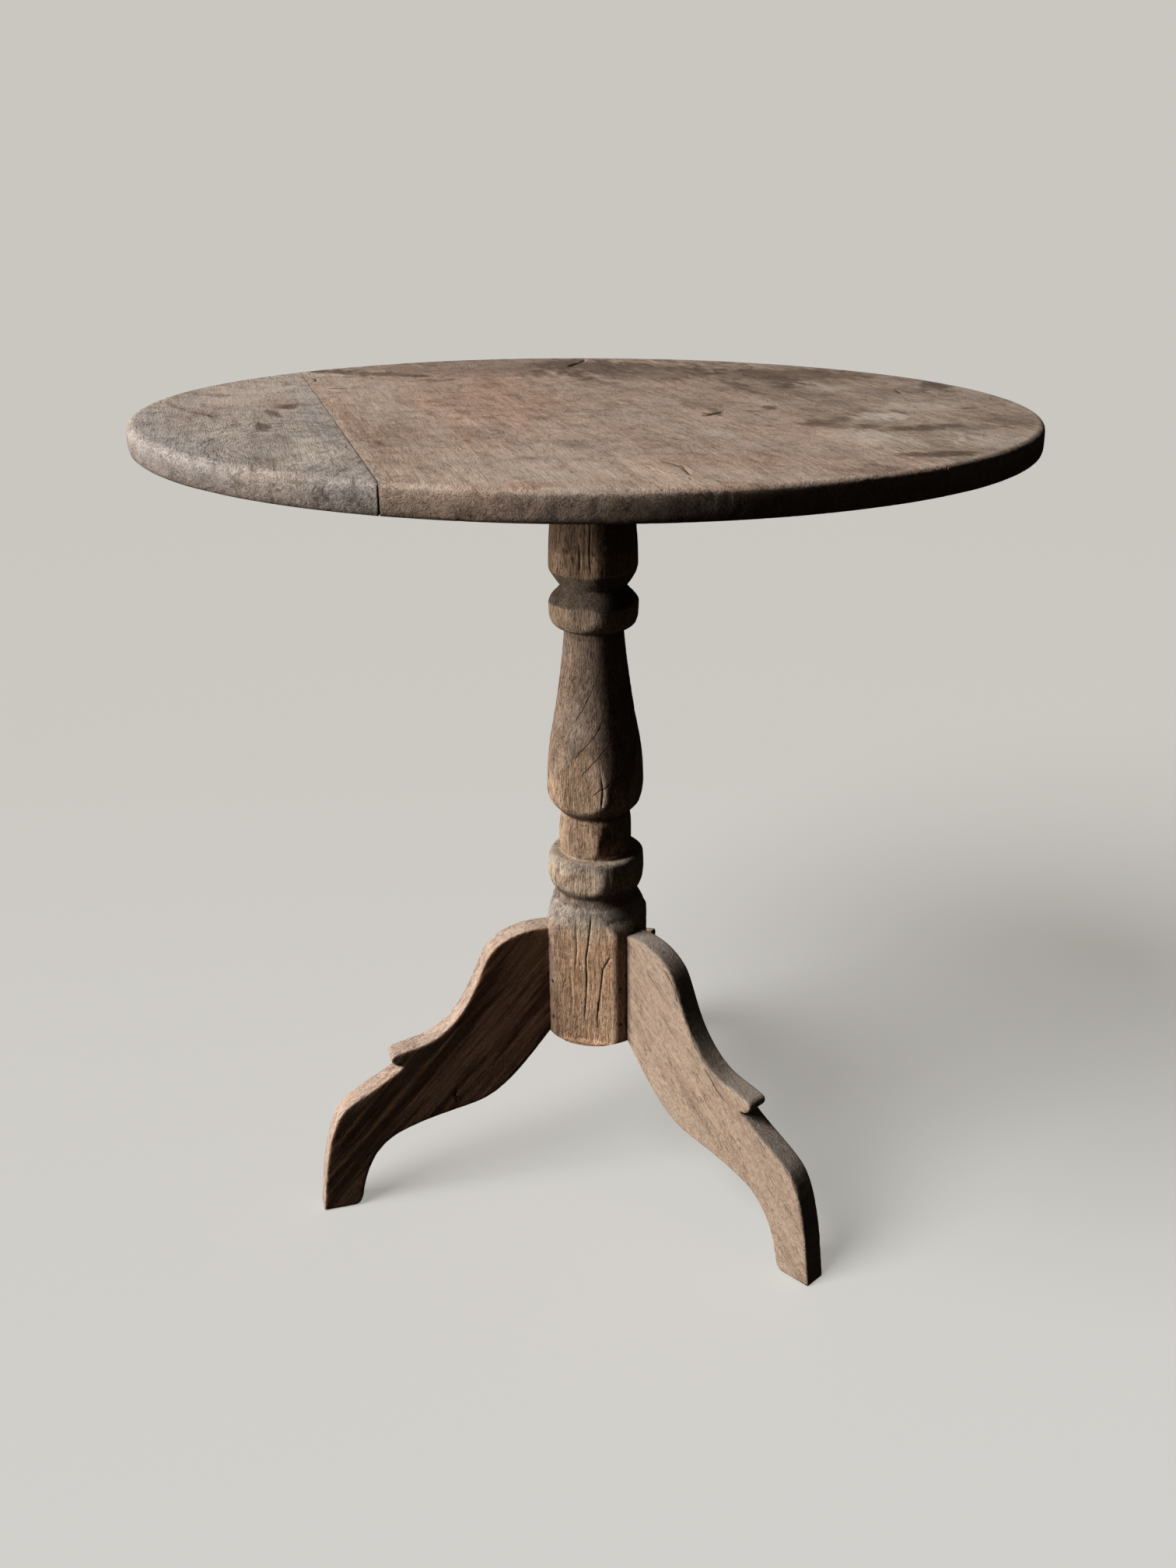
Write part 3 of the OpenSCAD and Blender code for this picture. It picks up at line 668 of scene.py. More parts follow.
# Bands left straight from the chisel, all the way round: lowest and highest z, and how far the upper
# border wanders
HEWN = [(350, 389, 1), (394, 420, 15), (322, 346, 2), (569, 590, 2), (619, 700, 2)]

# Splits along the column's grain: direction in degrees and height in mm, then width in mm
COLUMN_CRACKS = [
    ([(248, 299), (247, 285), (244.5, 270), (241, 252), (241.8, 232), (240.5, 212), (237.5, 186)], 1.2),
    ([(271, 258), (262, 243), (258.5, 216), (254, 190)], 0.9),
    ([(228, 292), (229, 262), (226, 236)], 0.8), ([(222, 232), (223, 206), (220, 186)], 0.7),
    ([(208, 692), (210, 664), (207, 648)], 2.0), ([(199, 676), (202, 655), (201, 640)], 1.6),
    ([(236, 650), (238, 636), (236, 622)], 1.4), ([(252, 664), (250, 640), (252, 624)], 1.2),
    ([(276, 380), (282, 368), (274, 355)], 1.4), ([(262, 440), (264, 424), (262, 408)], 1.4),
    ([(20, 280), (24, 240), (22, 200)], 1.6), ([(92, 296), (96, 250), (94, 210)], 1.8),
    ([(150, 470), (152, 440), (149, 412)], 1.4), ([(60, 660), (64, 640), (62, 622)], 1.6),
    ([(330, 268), (332, 236), (329, 196)], 1.4),
]

# Bands round the column, darker below 0 and paler above: lowest and highest z, and strength.
# The two from 622 mm up to the block are the table top's painted shadow on the barrel.
COLUMN_BANDS = [(591, 606, -0.8), (606, 618, -0.35), (339, 351, 0.35), (389, 397, -0.7), (304, 318, -0.6),
                (560, 568, -0.45), (286, 303, 0.3), (640, 700, -0.6), (351, 389, -0.35), (622, 640, -0.2)]


def smaller(a, b, round_mm):
    """The smaller of two radii, blended where they are close."""
    k = round_mm * MM
    h = np.clip(0.5 + 0.5 * (b - a) / k, 0, 1)
    return b * (1 - h) + a * h - k * h * (1 - h)


def column():
    """The turned column with its flats, splits and chisel marks."""
    profile = resampled(column_profile(), 1.35 * MM, False)
    n_round = 208
    rows = len(profile)
    base = np.linspace(0, 2 * math.pi, n_round, endpoint=False)
    theta = np.tile(base, (rows, 1))
    turned_r, z = (np.repeat(profile[:, k:k + 1], n_round, axis=1) for k in (0, 1))
    row_height = profile[:, 1] / MM
    # slide grid lines onto the splits: drawn lines on either side follow, and the nearest two come
    # closer by gathered of their distance
    drawn, gathered = 5.0, 0.55
    depth = np.zeros_like(theta)
    for line, width in COLUMN_CRACKS:
        line = np.array(sorted(line, key=lambda q: q[1]), float)
        low, high = line[0, 1], line[-1, 1]
        at = np.radians(np.interp(row_height, line[:, 1], line[:, 0]))
        on = between(low, high, row_height, 5, 9)
        hold = between(low, high, row_height, 40, 0)
        column_at = int(round(at.mean() / (2 * math.pi) * n_round)) % n_round
        near = (np.arange(n_round) - column_at + n_round // 2) % n_round - n_round // 2
        pull = np.exp(-(near / drawn)**2)
        reach = (at - base[column_at] + math.pi) % (2 * math.pi) - math.pi
        theta += (hold * reach)[:, None] * pull[None]
        close = np.where(np.abs(near) == 1, -np.sign(near) * gathered * 2 * math.pi / n_round, 0)
        theta += hold[:, None] * close[None]
        depth = np.maximum(depth, on[:, None] * (near == 0)[None] * width * 0.8)
    radius = turned_r.copy()
    height = z / MM
    # a flat leans in above lean_from, reaches half_turn round either way, and is moved clear past
    # its two ends
    lean_from, half_turn, clear = 305, 1.15, 60 * MM
    for angle, far, lean, low, high in FLATS:
        away = (theta - math.radians(angle) + math.pi) % (2 * math.pi) - math.pi
        reach = far - np.maximum(height - lean_from, 0) * math.tan(math.radians(lean))
        plane = reach * MM / np.maximum(np.cos(away), 0.3)
        plane = plane + (1 - between(low, high, height, 3, 3)) * clear
        radius = np.where(np.abs(away) < half_turn, smaller(radius, plane, 1.3), radius)
    flat = smoothstep(0.5 * MM, 2.2 * MM, turned_r - radius)
    points = np.stack([radius * np.cos(theta), radius * np.sin(theta), z], axis=2).reshape(-1, 3)
    sway = noise(points * (1, 1, 0), (18, 18, 18), 17, 2).reshape(z.shape)
    for low, high, wander in HEWN:
        top = high + wander * sway * 2
        band = smoothstep(low - 0.7, low + 0.7, height)
        band *= smoothstep(top + 0.8 + 0.7 * wander, top - 0.8 - 0.4 * wander, height)
        flat = np.maximum(flat, band)
    # the first and the last row shrink to one point each, which come last
    faces = tube_faces(rows - 2, n_round)
    bottom = (rows - 2) * n_round
    tip = bottom + 1
    below_tip = bottom - n_round
    around = [(k, (k + 1) % n_round) for k in range(n_round)]
    faces += [[b, a, bottom] for a, b in around]
    faces += [[below_tip + a, below_tip + b, tip] for a, b in around]
    points = np.vstack([points[n_round:-n_round], [[0, 0, profile[0, 1]], [0, 0, profile[-1, 1]]]])
    shape = np.r_[flat.ravel()[n_round:-n_round], 0, 0]
    groove = np.r_[depth.ravel()[n_round:-n_round], 0, 0]
    normals = vertex_normals(points, faces)
    r = length(points[:, :2])
    side = 1 - np.abs(normals[:, 2])
    unrolled = np.c_[np.arctan2(points[:, 1], points[:, 0]) * 0.045, points[:, 2], r * 0.3]
    seen = smoothstep(BLOCK_BOTTOM, BLOCK_BOTTOM - 3 * MM, points[:, 2])
    sink = 0.30 + 0.30 * noise(points, (30, 30, 90), 11, 2)
    sink += 0.42 * np.abs(noise(unrolled, (2.6, 60, 20), 12, 2)) * shape
    sink += 0.30 * smoothstep(0.1, 0.7, noise(unrolled, (4.5, 46, 20), 13, 2)) * shape
    sink += 0.10 * noise(points, (200, 200, 2.2), 14, 1) * (1 - shape)
    sink += 0.7 * smoothstep(0.2, 0.8, noise(points, (11, 11, 9), 15, 2)) * (0.3 + 0.7 * side)
    p = points - normals * (np.maximum(sink, 0) * seen * MM)[:, None]
    p[:, :2] -= points[:, :2] * (groove * MM / np.maximum(r, 1e-6))[:, None]
    stain_and_shadow = 0.5 * noise(points, (26, 26, 60), 16, 3)
    height = points[:, 2] / MM
    # the bands; the two highest are the table top's painted shadow on the barrel
    for low, high, strength in COLUMN_BANDS:
        stain_and_shadow += strength * between(low, high, height, 1.2, 1)
    # red-brown most at the foot and the top, and greyer on two of the turnings
    warm = 0.95 * smoothstep(292, 262, height) + 0.8 * smoothstep(612, 622, height)
    warm += 0.5 * shape * smoothstep(560, 570, height) * smoothstep(612, 600, height)
    warm += 0.5 * smoothstep(345, 352, height) * smoothstep(572, 562, height)
    warm -= 0.8 * (smoothstep(286, 294, height) - smoothstep(302, 312, height))
    warm -= 0.7 * (smoothstep(341, 345, height) - smoothstep(350, 353, height))
    warm += 0.3 * noise(points, (22, 22, 40), 19, 3)
    crack = np.clip(groove / 1.2, 0, 1)
    return make_object("column_wood", p, faces,
                       {"stain_and_shadow": stain_and_shadow, "tint": warm, "crack": crack, "wear_and_highlight": shape})


# ---- the catch's spring
spring_low, spring_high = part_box("catch_spring")
SPRING = (spring_low[0], spring_high[0])
SPRING_Z = (spring_low[2] + spring_high[2]) / 2
SPRING_R = (spring_high[2] - spring_low[2]) / 2


def spring():
    """A coil of round wire along X, with its end turns laid close."""
    wire, turns, n_turn, n_wire = 0.7 * MM, 7, 28, 10
    s = np.linspace(0, 1, turns * n_turn + 1)
    angle = s * turns * 2 * math.pi
    span = SPRING[1] - SPRING[0] - 2 * wire
    along = SPRING[0] + wire + span * np.interp(s, [0, 1 / 7, 6 / 7, 1], [0, 0.045, 0.955, 1])
    mean = SPRING_R - wire
    middle = np.c_[along, mean * np.cos(angle), SPRING_Z + mean * np.sin(angle)]
    out = np.c_[along * 0, np.cos(angle), np.sin(angle)]
    ahead = np.gradient(middle, axis=0)
    ahead /= length(ahead)[:, None]
    side = np.cross(ahead, out)
    turn = np.linspace(0, 2 * math.pi, n_wire, endpoint=False)
    points = middle[:, None] + wire * (out[:, None] * np.cos(turn)[None, :, None]
                                       + side[:, None] * np.sin(turn)[None, :, None])
    faces = [f[::-1] for f in tube_faces(len(s), n_wire)]
    end = (len(s) - 1) * n_wire
    faces.append(list(range(n_wire)))
    faces.append([end + k for k in range(n_wire)][::-1])
    return make_object("catch_spring_coil", points.reshape(-1, 3), faces)


# ---- materials
class Tree:
    """A material's node tree, with short ways to add and join nodes."""

    def __init__(self, name):
        self.material = bpy.data.materials.new(name)
        self.material.use_nodes = True
        self.tree = self.material.node_tree
        self.tree.nodes.clear()

    def add(self, kind, inputs=None, **settings):
        node = self.tree.nodes.new("ShaderNode" + kind)
        for key, value in settings.items():
            setattr(node, key, value)
        for key, value in (inputs or {}).items():
            if isinstance(value, bpy.types.NodeSocket):
                self.tree.links.new(value, node.inputs[key])
            else:
                node.inputs[key].default_value = value
        return node

    def math(self, operation, a, b=0.0):
        return self.add("Math", {0: a, 1: b}, operation=operation).outputs[0]

    def times(self, a, b):
        return self.math("MULTIPLY", a, b)

    def plus(self, a, b):
        return self.math("ADD", a, b)

    def less(self, a, b):
        return self.math("SUBTRACT", a, b)

    def mix(self, factor, a, b, blend="MIX"):
        """The colour a with b laid over it by factor."""
        node = self.add("Mix", data_type="RGBA", blend_type=blend)
        for socket, value in ((node.inputs[0], factor), (node.inputs[6], a), (node.inputs[7], b)):
            if isinstance(value, bpy.types.NodeSocket):
                self.tree.links.new(value, socket)
            else:
                socket.default_value = value if isinstance(value, float) else (*value, 1)[:4]
        return node.outputs[2]

    def ramp(self, value, low, high, to_low=0.0, to_high=1.0):
        """to_low where value is low, to_high where it is high, and a straight run between."""
        node = self.add("MapRange", {0: value, 1: low, 2: high, 3: to_low, 4: to_high})
        return node.outputs[0]

    def noise(self, vector, size, detail=2.0, roughness=0.5, distortion=0.0):
        """Noise whose size is given in mm across, across and along the vector's axes."""
        scaled = self.add("Mapping", {"Vector": vector, "Scale": [1000 / s for s in size]})
        node = self.add("TexNoise", {"Vector": scaled.outputs[0], "Scale": 1.0,
                                               "Detail": detail, "Roughness": roughness,
                                               "Distortion": distortion})
        return node.outputs[0]

    def attribute(self, name):
        return self.add("Attribute", attribute_name=name).outputs["Fac"]

    def surface(self, color, roughness, height=None, distance=0.0005, **sockets):
        inputs = {"Base Color": color, "Roughness": roughness}
        inputs.update({k.replace("_", " "): v for k, v in sockets.items()})
        if height is not None:
            bump = self.add("Bump", {"Height": height, "Strength": 1.0,
                                               "Distance": distance})
            inputs["Normal"] = bump.outputs[0]
        shader = self.add("BsdfPrincipled", inputs)
        out = self.add("OutputMaterial")
        self.tree.links.new(shader.outputs[0], out.inputs[0])
        return self.material


# The colour of grey-blue places, and the turns that lay the grain along an axis
TOP_BLUE = (0.27, 0.262, 0.265)
ALONG_Y = (math.radians(90), 0, 0)
ALONG_X = (0, math.radians(90), 0)


def wood(name, turn, dark, light, grey, worn_and_highlight, streak=1.0, offset=(0, 0, 0), pore=0.35, bump=0.0006,
         figure=None, scratches=(), red=(1.05, 0.92, 0.87), spread=0.13, greyed=0.85, fissure=0.5,
         cloudy=1.0):
    """Weathered wood whose grain runs along the turned Z axis. The fourth colour is that of raw,
    rubbed places and, on the top's boards, of the painted highlight along the upper rounding of the
    rim; the wear attribute marks both. greyed, fissure, cloudy, streak and pore say how strong the
    grey patches, fissures, clouds, fine streaks and pores are; spread is the softness of the step
    from dark to light; red multiplies the colour where the tint is red-brown."""
    t = Tree(name)
    place = t.add("TexCoord").outputs["Object"]
    turned = t.add("Mapping", {"Vector": place, "Rotation": turn, "Location": offset})
    grain = turned.outputs[0]
    broad = t.noise(grain, (24, 24, 330), 3, 0.55, 0.6)
    medium = t.noise(grain, (5.5, 5.5, 110), 4, 0.6, 0.35)
    fine = t.noise(grain, (1.2, 1.2, 22), 3, 0.6, 0.15)
    pores = t.noise(grain, (0.8, 0.8, 9), 1, 0.5)
    patches = t.noise(grain, (60, 60, 110), 5, 0.62, 0.9)
    blotch = t.noise(grain, (16, 16, 24), 5, 0.66, 0.6)
    cloud = t.noise(grain, (42, 42, 60), 6, 0.7, 1.2)
    grit = t.noise(grain, (1.9, 1.9, 2.8), 3, 0.7)
    speck = t.noise(grain, (3.4, 3.4, 6), 4, 0.72, 0.4)
    tint = t.attribute("tint")
    tone = t.plus(t.times(broad, 0.45), t.times(medium, 0.55))
    color = t.mix(t.ramp(tone, 0.5 - spread, 0.5 + spread), dark, light)
    color = t.mix(t.ramp(patches, 0.40, 0.64, 0.0, greyed), color, grey)
    # the fourth colour goes on raw, rubbed places and on the painted highlight along the top's rim
    bare_and_highlight = t.times(t.ramp(t.attribute("wear_and_highlight"), 0.1, 0.9), t.ramp(blotch, 0.26, 0.52))
    color = t.mix(bare_and_highlight, color, worn_and_highlight)
    color = t.mix(t.ramp(tint, 0.0, 1.0, 0.0, 0.8), color, red, "MULTIPLY")
    color = t.mix(t.ramp(tint, -1.0, 0.0, 0.4, 0.0), color, TOP_BLUE)
    # the stains, and on the column's barrel the table top's painted shadow, with ragged edges along the
    # grain
    ragged = t.times(t.attribute("stain_and_shadow"), t.ramp(medium, 0.3, 0.6, 0.7, 1.3))
    # darker and paler places: the pattern, its ramp, and what the colour is multiplied by
    for value, ramp, shade in (
            (fine, (0.30, 0.52, 0.5 * streak, 0.0), (0.5, 0.44, 0.40)),
            (pores, (0.60, 0.70, 0.0, pore), (0.28, 0.22, 0.18)),
            (blotch, (0.5, 0.64, 0.0, 0.6 * cloudy), (0.56, 0.5, 0.46)),
            (cloud, (0.48, 0.66, 0.0, 0.5 * cloudy), (0.62, 0.57, 0.53)),
            (cloud, (0.34, 0.46, 0.4 * cloudy, 0.0), (1.25, 1.22, 1.18)),
            (blotch, (0.3, 0.46, 0.25, 0.0), (1.35, 1.3, 1.25)),
            (grit, (0.5, 0.62, 0.0, 0.42), (0.55, 0.5, 0.45)),
            (grit, (0.36, 0.46, 0.35, 0.0), (1.28, 1.25, 1.2)),
            (ragged, (-1.1, -0.05, 0.8, 0.0), (0.26, 0.21, 0.18))):
        color = t.mix(t.ramp(value, *ramp), color, shade, "MULTIPLY")
    color = t.mix(t.ramp(ragged, 0.05, 1.0, 0.0, 0.65), color, (0.50, 0.44, 0.37))
    # short dark fissures along the grain, and small crisp specks
    flow = t.noise(grain, (4.2, 4.2, 46), 3, 0.6, 0.7)
    hair = t.ramp(t.math("ABSOLUTE", t.less(flow, 0.5)), 0.004, 0.018, 1.0, 0.0)
    hair = t.times(hair, t.ramp(t.noise(grain, (11, 11, 24), 2, 0.5), 0.46, 0.58))
    color = t.mix(t.times(hair, fissure), color, (0.34, 0.27, 0.22), "MULTIPLY")
    color = t.mix(t.ramp(speck, 0.56, 0.62, 0.0, 0.32 * cloudy), color, (0.55, 0.48, 0.42), "MULTIPLY")
    color = t.mix(t.ramp(speck, 0.36, 0.42, 0.3, 0.0), color, (1.3, 1.27, 1.22), "MULTIPLY")
    height = t.plus(t.times(fine, 0.5), t.times(medium, 0.8))
    for value, weight in ((hair, -0.8), (t.ramp(speck, 0.5, 0.64), -0.35), (grit, 0.55),
                          (t.ramp(pores, 0.58, 0.7), -0.5)):
        height = t.plus(height, t.times(value, weight))
    marks = [(oval_figure(t, place, figure), 0.6, (0.5, 0.48, 0.47), -0.5)] if figure else []
    marks += [(scratch(t, place, line), 0.7, (0.3, 0.26, 0.22), -1.6) for line in scratches]
    for mark, strength, shade, weight in marks:
        color = t.mix(t.times(mark, strength), color, shade, "MULTIPLY")
        height = t.plus(height, t.times(mark, weight))
    color = t.mix(t.ramp(t.attribute("crack"), 0.15, 0.75), color, (0.02, 0.014, 0.01))
    rough = t.ramp(medium, 0.3, 0.7, 0.78, 0.92)
    return t.surface(color, rough, height, bump, Specular_IOR_Level=0.22)


def oval_figure(t, place, figure):
    """Fine growth rings round a long oval: centre and half sizes in mm, and how many rings. 1 on a
    ring, 0 between."""
    x, y, rx, ry, count = figure
    moved = t.add("Mapping", {"Vector": place, "Location": (-x * MM, -y * MM, 0)})
    scaled = t.add("Mapping", {"Vector": moved.outputs[0],
                                         "Scale": (1 / (rx * MM), 1 / (ry * MM), 0)})
    far = t.add("VectorMath", {0: scaled.outputs[0]}, operation="LENGTH").outputs["Value"]
    sway = t.noise(place, (34, 60, 30), 3, 0.55)
    phase = t.times(t.plus(far, t.times(sway, 0.5)), count * 2 * math.pi)
    wave = t.ramp(t.math("SINE", phase), 0.1, 0.9)
    inner = t.times(t.ramp(far, 0.1, 0.35), t.ramp(far, 1.0, 0.8))
    broken = t.ramp(t.noise(place, (14, 22, 14), 2, 0.5), 0.38, 0.58)
    return t.times(wave, t.times(inner, broken))


def scratch(t, place, line):
    """A thin slanting cut round the column: its two ends as direction in degrees and height in mm,
    and its width in mm. 1 in the cut, 0 beside it."""
    (a0, z0), (a1, z1), width = line
    x, y, z = t.add("SeparateXYZ", {0: place}).outputs
    middle = math.radians((a0 + a1) / 2)
    # the direction is measured from the cut's own middle, so it never jumps
    across = t.less(t.times(y, math.cos(middle)), t.times(x, math.sin(middle)))
    ahead = t.plus(t.times(x, math.cos(middle)), t.times(y, math.sin(middle)))
    turn = t.math("ARCTAN2", across, ahead)
    slope = (z1 - z0) / math.radians(a1 - a0)
    sway = t.times(t.noise(place, (16, 16, 16), 2, 0.5), 0.008)
    level = t.plus(t.times(turn, slope * MM), (z0 + z1) / 2 * MM - 0.004)
    off = t.math("ABSOLUTE", t.less(z, t.plus(level, sway)))
    half = abs(math.radians(a1 - a0)) / 2
    ends = t.ramp(t.math("ABSOLUTE", turn), half, half * 0.8)
    near = t.times(t.ramp(off, width * MM, 0.2 * width * MM), ends)
    return t.times(near, t.math("GREATER_THAN", ahead, 0.0))


def metal(name, color, stain_color, rough, metallic=1.0):
    """Metal with clouds of stain_color, which are rougher."""
    t = Tree(name)
    place = t.add("TexCoord").outputs["Object"]
    cloud = t.noise(place, (9, 9, 9), 4, 0.65, 0.4)
    grit = t.noise(place, (0.9, 0.9, 0.9), 3, 0.6)
    mixed = t.mix(t.ramp(cloud, 0.42, 0.62), color, stain_color)
    mixed = t.mix(t.ramp(grit, 0.55, 0.75, 0.0, 0.5), mixed, (0.3, 0.25, 0.2), "MULTIPLY")
    roughness = t.ramp(cloud, 0.35, 0.65, rough, min(rough + 0.25, 1.0))
    return t.surface(mixed, roughness, grit, 0.0003, Metallic=metallic)


def paint(thing, material):
    """Gives the piece this one material."""
    slots = thing.data.materials
    if len(slots):
        for k in range(len(slots)):
            slots[k] = material
    else:
        slots.append(material)


# ---- the pieces
pieces = {
    "board_left": board("board_left_wood", None, SEAM_LEFT, 21),
    "board_middle": board("board_middle_wood", SEAM_LEFT, SEAM_RIGHT, 31),
    "board_right": board("board_right_wood", SEAM_RIGHT, None, 41),
}
paint(pieces["board_left"],
      wood("wood_board_left", ALONG_Y, (0.25, 0.207, 0.175), (0.40, 0.335, 0.282), (0.34, 0.302, 0.272),
           (0.36, 0.305, 0.258), offset=(0.3, 0.1, 0), figure=(-268, -165, 88, 185, 11)))
paint(pieces["board_middle"],
      wood("wood_board_middle", ALONG_Y, (0.26, 0.188, 0.142), (0.45, 0.338, 0.262),
           (0.36, 0.285, 0.235), (0.43, 0.345, 0.28)))
paint(pieces["board_right"],
      wood("wood_board_right", ALONG_Y, (0.21, 0.155, 0.115), (0.41, 0.32, 0.25), (0.34, 0.275, 0.225),
           (0.40, 0.32, 0.26), offset=(0.7, 0.2, 0.5)))
for node_name, thing in pieces.items():
    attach(thing, "top")
    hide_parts(node_name)

# Slanting cuts on the baluster: two ends as direction and height, and width
COLUMN_SCRATCHES = [((226, 486), (262, 528), 1.3), ((229, 452), (272, 494), 1.3),
                    ((236, 436), (276, 470), 1.2), ((252, 420), (292, 442), 1.2),
                    ((218, 505), (240, 538), 1.0)]
column_piece = column()
paint(column_piece,
      wood("wood_column", (0, 0, 0), (0.24, 0.175, 0.125), (0.47, 0.365, 0.28), (0.36, 0.29, 0.232),
           (0.60, 0.46, 0.335), streak=1.3, pore=0.5, bump=0.0013, scratches=COLUMN_SCRATCHES,
           red=(1.04, 0.82, 0.66), fissure=0.85))
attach(column_piece, "pedestal")
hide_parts("column")

spring_piece = spring()
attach(spring_piece, "top")
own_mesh(spring_piece)
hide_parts("catch_spring")

# The legs' four colours, as wood() takes them, and their grain
leg_tones = {
    "leg_left": ((0.11, 0.05, 0.025), (0.46, 0.265, 0.155), (0.25, 0.14, 0.085), (0.46, 0.355, 0.285)),
    "leg_right": ((0.34, 0.235, 0.166), (0.47, 0.348, 0.258), (0.395, 0.30, 0.23), (0.36, 0.30, 0.25)),
    "leg_rear": ((0.16, 0.10, 0.065), (0.33, 0.22, 0.15), (0.26, 0.19, 0.14), (0.42, 0.33, 0.26)),
}
leg_grain = {
    "leg_left": {"spread": 0.05, "greyed": 0.25, "fissure": 0.9, "streak": 1.4, "cloudy": 0.5},
    "leg_right": {"spread": 0.25, "greyed": 0.5, "fissure": 0.05, "streak": 0.3, "cloudy": 0.35},
    "leg_rear": {},
}
for k, (leg_name, tones) in enumerate(leg_tones.items()):
    piece = leg(leg_name, 61 + 10 * k)
    a = math.radians(LEG_ANGLES[leg_name])
    # turn the leg's slope, down from its radial direction, onto Z
    slope = Matrix.Rotation(math.radians(90 - LEG_SLOPE), 4, "Y") @ Matrix.Rotation(-a, 4, "Z")
    paint(piece, wood("wood_" + leg_name, slope.to_euler(), *tones, offset=(0.1 * k, 0.37 * k, 0),
                      **leg_grain[leg_name]))
    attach(piece, "pedestal")
    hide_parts(leg_name)

under = wood("wood_under", ALONG_X, (0.09, 0.06, 0.042), (0.2, 0.145, 0.1), (0.15, 0.115, 0.09),
             (0.24, 0.18, 0.13))
iron = metal("aged_iron", (0.06, 0.052, 0.048), (0.10, 0.05, 0.03), 0.5, 0.85)
brass = metal("aged_brass", (0.42, 0.31, 0.14), (0.16, 0.11, 0.05), 0.35)
steel = metal("dull_steel", (0.36, 0.35, 0.33), (0.2, 0.17, 0.14), 0.32)
finish = {"under_wood": under, "iron": iron, "brass": brass, "spring_steel": steel}
for entry in frame["record"]["subparts"]:
    if entry["material_slot"] in finish:
        paint(frame["nodes"][entry["node"]], finish[entry["material_slot"]])
paint(spring_piece, steel)


# ---- stage, light and camera
# The floor's own colour, how it glows near and far, and how the wall glows
FLOOR_ALBEDO = (0.30, 0.30, 0.30)
FLOOR_GLOW_NEAR = (0.355, 0.346, 0.327)
FLOOR_GLOW_FAR = (0.301, 0.286, 0.256)
WALL_GLOW = (0.591, 0.571, 0.533)
# Where the lamps point
AIM = (0, 0, 0.45)


def stage():
    """A pale floor that runs up into a wall far off, all round."""
    level, bend, wall_top = 5, 3, 12
    profile = [(r, 0.0) for r in (0.5, 1.0, 2.0, 3.0, level)]
    profile += [(level + bend * math.sin(a), bend - bend * math.cos(a))
                for a in np.linspace(0.1, math.pi / 2, 10)]
    profile += [(level + bend, wall_top)]
    n = 96
    points = [(r * math.cos(2 * math.pi * k / n), r * math.sin(2 * math.pi * k / n), z)
              for r, z in profile for k in range(n)]
    points.append((0.0, 0.0, 0.0))
    faces = [f[::-1] for f in tube_faces(len(profile), n)]
    faces += [[k, (k + 1) % n, len(points) - 1] for k in range(n)]
    thing = make_object("studio_floor", np.array(points), faces)
    t = Tree("studio_floor")
    place = t.add("TexCoord").outputs["Object"]
    split = t.add("SeparateXYZ", {0: place})
    depth = t.plus(t.times(split.outputs[0], 0.2), split.outputs[1])
    far = t.add("VectorMath", {0: place}, operation="LENGTH").outputs["Value"]
    near_glow = t.mix(t.ramp(depth, -0.9, 1.2), FLOOR_GLOW_NEAR, FLOOR_GLOW_FAR)
    glow = t.add("Emission", {"Color": near_glow, "Strength": 1.0})
    matt = t.add("BsdfDiffuse", {"Color": (*FLOOR_ALBEDO, 1)})
    lit = t.add("AddShader", {0: glow.outputs[0], 1: matt.outputs[0]})
    wall = t.add("Emission", {"Color": (*WALL_GLOW, 1), "Strength": 1.0})
    both = t.add("MixShader", {0: t.ramp(far, 1.5, 3.4), 1: lit.outputs[0],
                                         2: wall.outputs[0]})
    out = t.add("OutputMaterial")
    t.tree.links.new(both.outputs[0], out.inputs[0])
    paint(thing, t.material)
    thing.visible_diffuse = False
    thing.visible_glossy = False
    thing.visible_shadow = False
    return thing


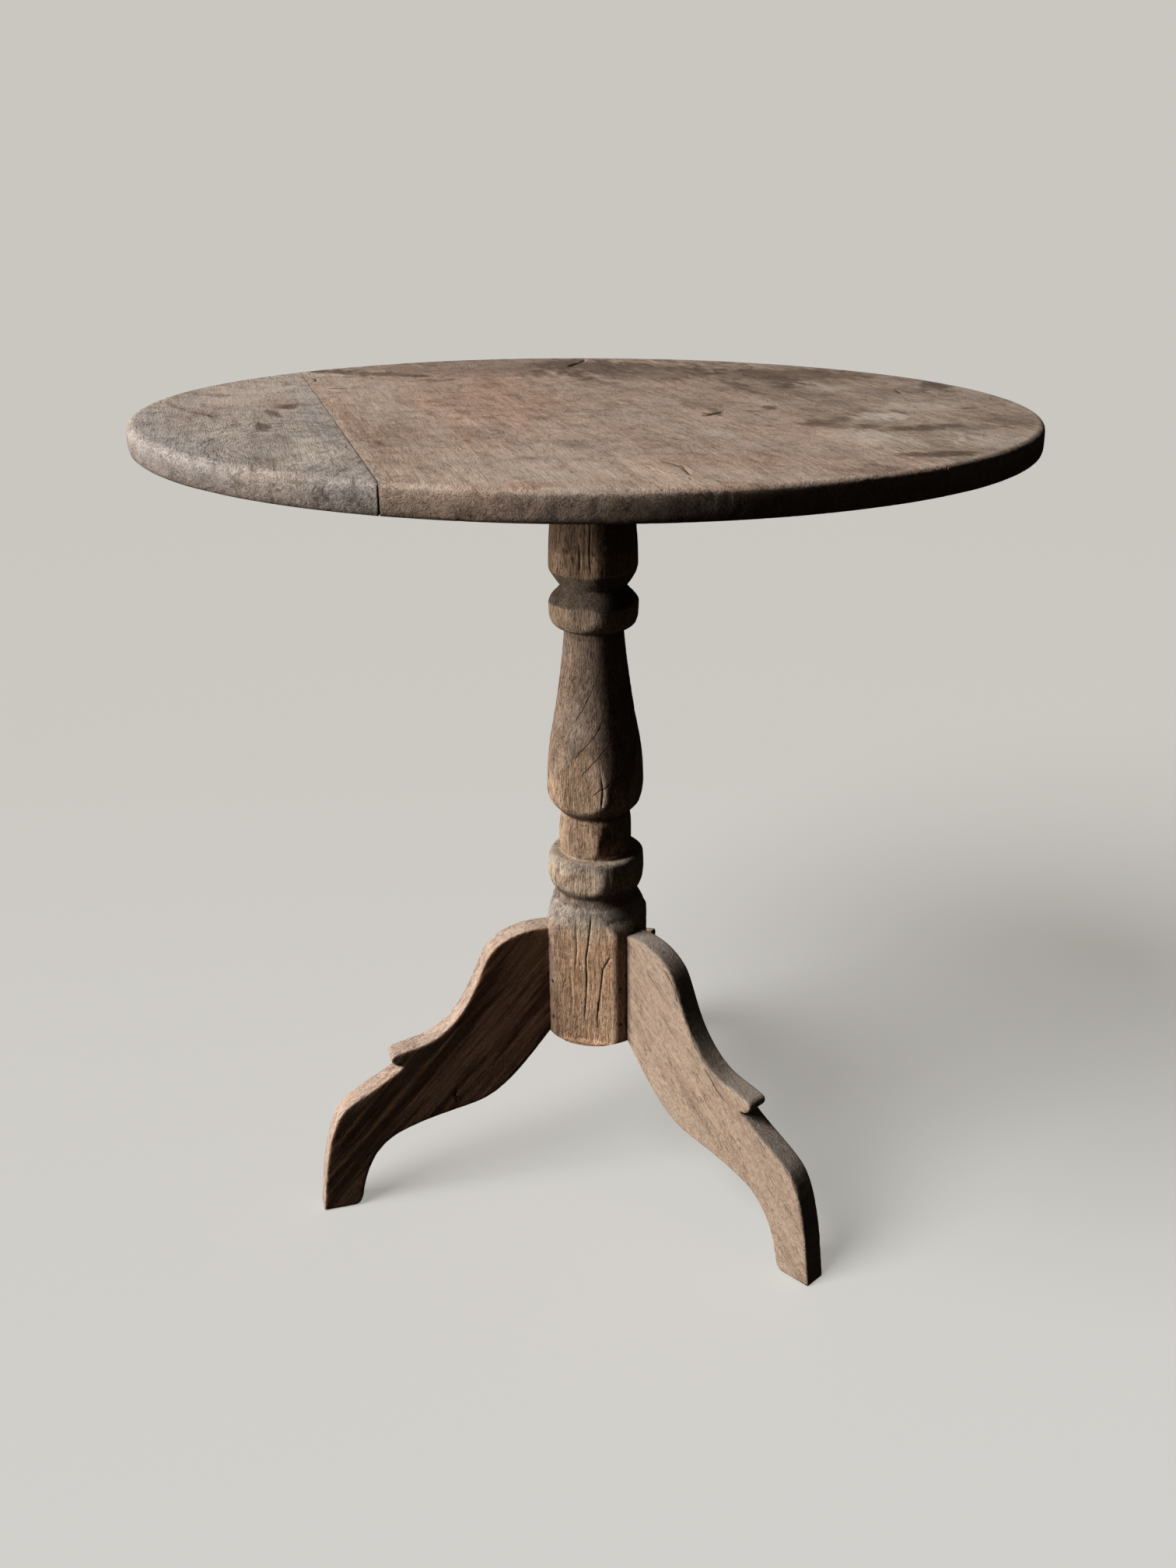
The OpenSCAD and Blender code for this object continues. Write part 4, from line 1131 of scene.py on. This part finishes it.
def lamp(name, kind, energy, azimuth, height, distance, color):
    """A lamp facing the table. azimuth is where it stands, seen from above: 0 is the +X side, 90 the
    +Y side; height is its angle above the level. A SUN's light is even all over the floor."""
    light = bpy.data.lights.new(name, kind)
    light.energy = energy
    light.color = color
    thing = bpy.data.objects.new(name, light)
    aim = (Matrix.Rotation(math.radians(azimuth), 4, "Z")
           @ Matrix.Rotation(math.radians(90 - height), 4, "Y"))
    upright = Matrix.Rotation(math.pi / 2, 4, "Z")
    away = Matrix.Translation((0, 0, distance))
    thing.matrix_world = Matrix.Translation(AIM) @ aim @ upright @ away
    bpy.context.scene.collection.objects.link(thing)
    return thing


def keep_apart(table_lamp, floor_lamp, floor):
    """The floor takes its light from one lamp and the table from the other, like a flagged studio lamp."""
    for source, state in ((table_lamp, "EXCLUDE"), (floor_lamp, "INCLUDE")):
        group = bpy.data.collections.new("lit_by_" + source.name)
        group.objects.link(floor)
        source.light_linking.receiver_collection = group
        group.collection_objects[0].light_linking.link_state = state


LAMP_COLOR = (1.0, 0.985, 0.965)
floor = stage()
key = lamp("key", "AREA", 930, 175, 31, 6.0, LAMP_COLOR)
key.data.shape = "RECTANGLE"
key.data.size, key.data.size_y = (2.3, 5.6)
key.visible_camera = False
floor_sun = lamp("floor_key", "SUN", 4.6, 196, 42, 6.0, LAMP_COLOR)
floor_sun.data.angle = math.radians(38)
keep_apart(key, floor_sun, floor)

world = bpy.data.worlds.new("studio")
bpy.context.scene.world = world
world.use_nodes = True
glow = world.node_tree.nodes["Background"].inputs
glow["Color"].default_value = (1.0, 0.85, 0.7, 1)
glow["Strength"].default_value = 0.014

camera = bpy.data.objects.new("camera", bpy.data.cameras.new("camera"))
bpy.context.scene.collection.objects.link(camera)
bpy.context.scene.camera = camera
camera.data.sensor_width = 36
camera.data.lens = 34.3464286
camera.data.shift_x = -0.0496
camera.data.clip_end = 60
# where it stands, then in degrees: its turn round Z, how far its view is tipped down, and its roll
CAMERA_PLACE = (-0.3262, -1.2545, 0.9355)
CAMERA_TURN = -17.472
CAMERA_TIP = 21.902
CAMERA_ROLL = 0.512
camera.matrix_world = (Matrix.Translation(CAMERA_PLACE)
                       @ Matrix.Rotation(math.radians(CAMERA_TURN), 4, "Z")
                       @ Matrix.Rotation(math.radians(90 - CAMERA_TIP), 4, "X")
                       @ Matrix.Rotation(math.radians(CAMERA_ROLL), 4, "Z"))
bpy.context.scene.view_settings.view_transform = "Standard"
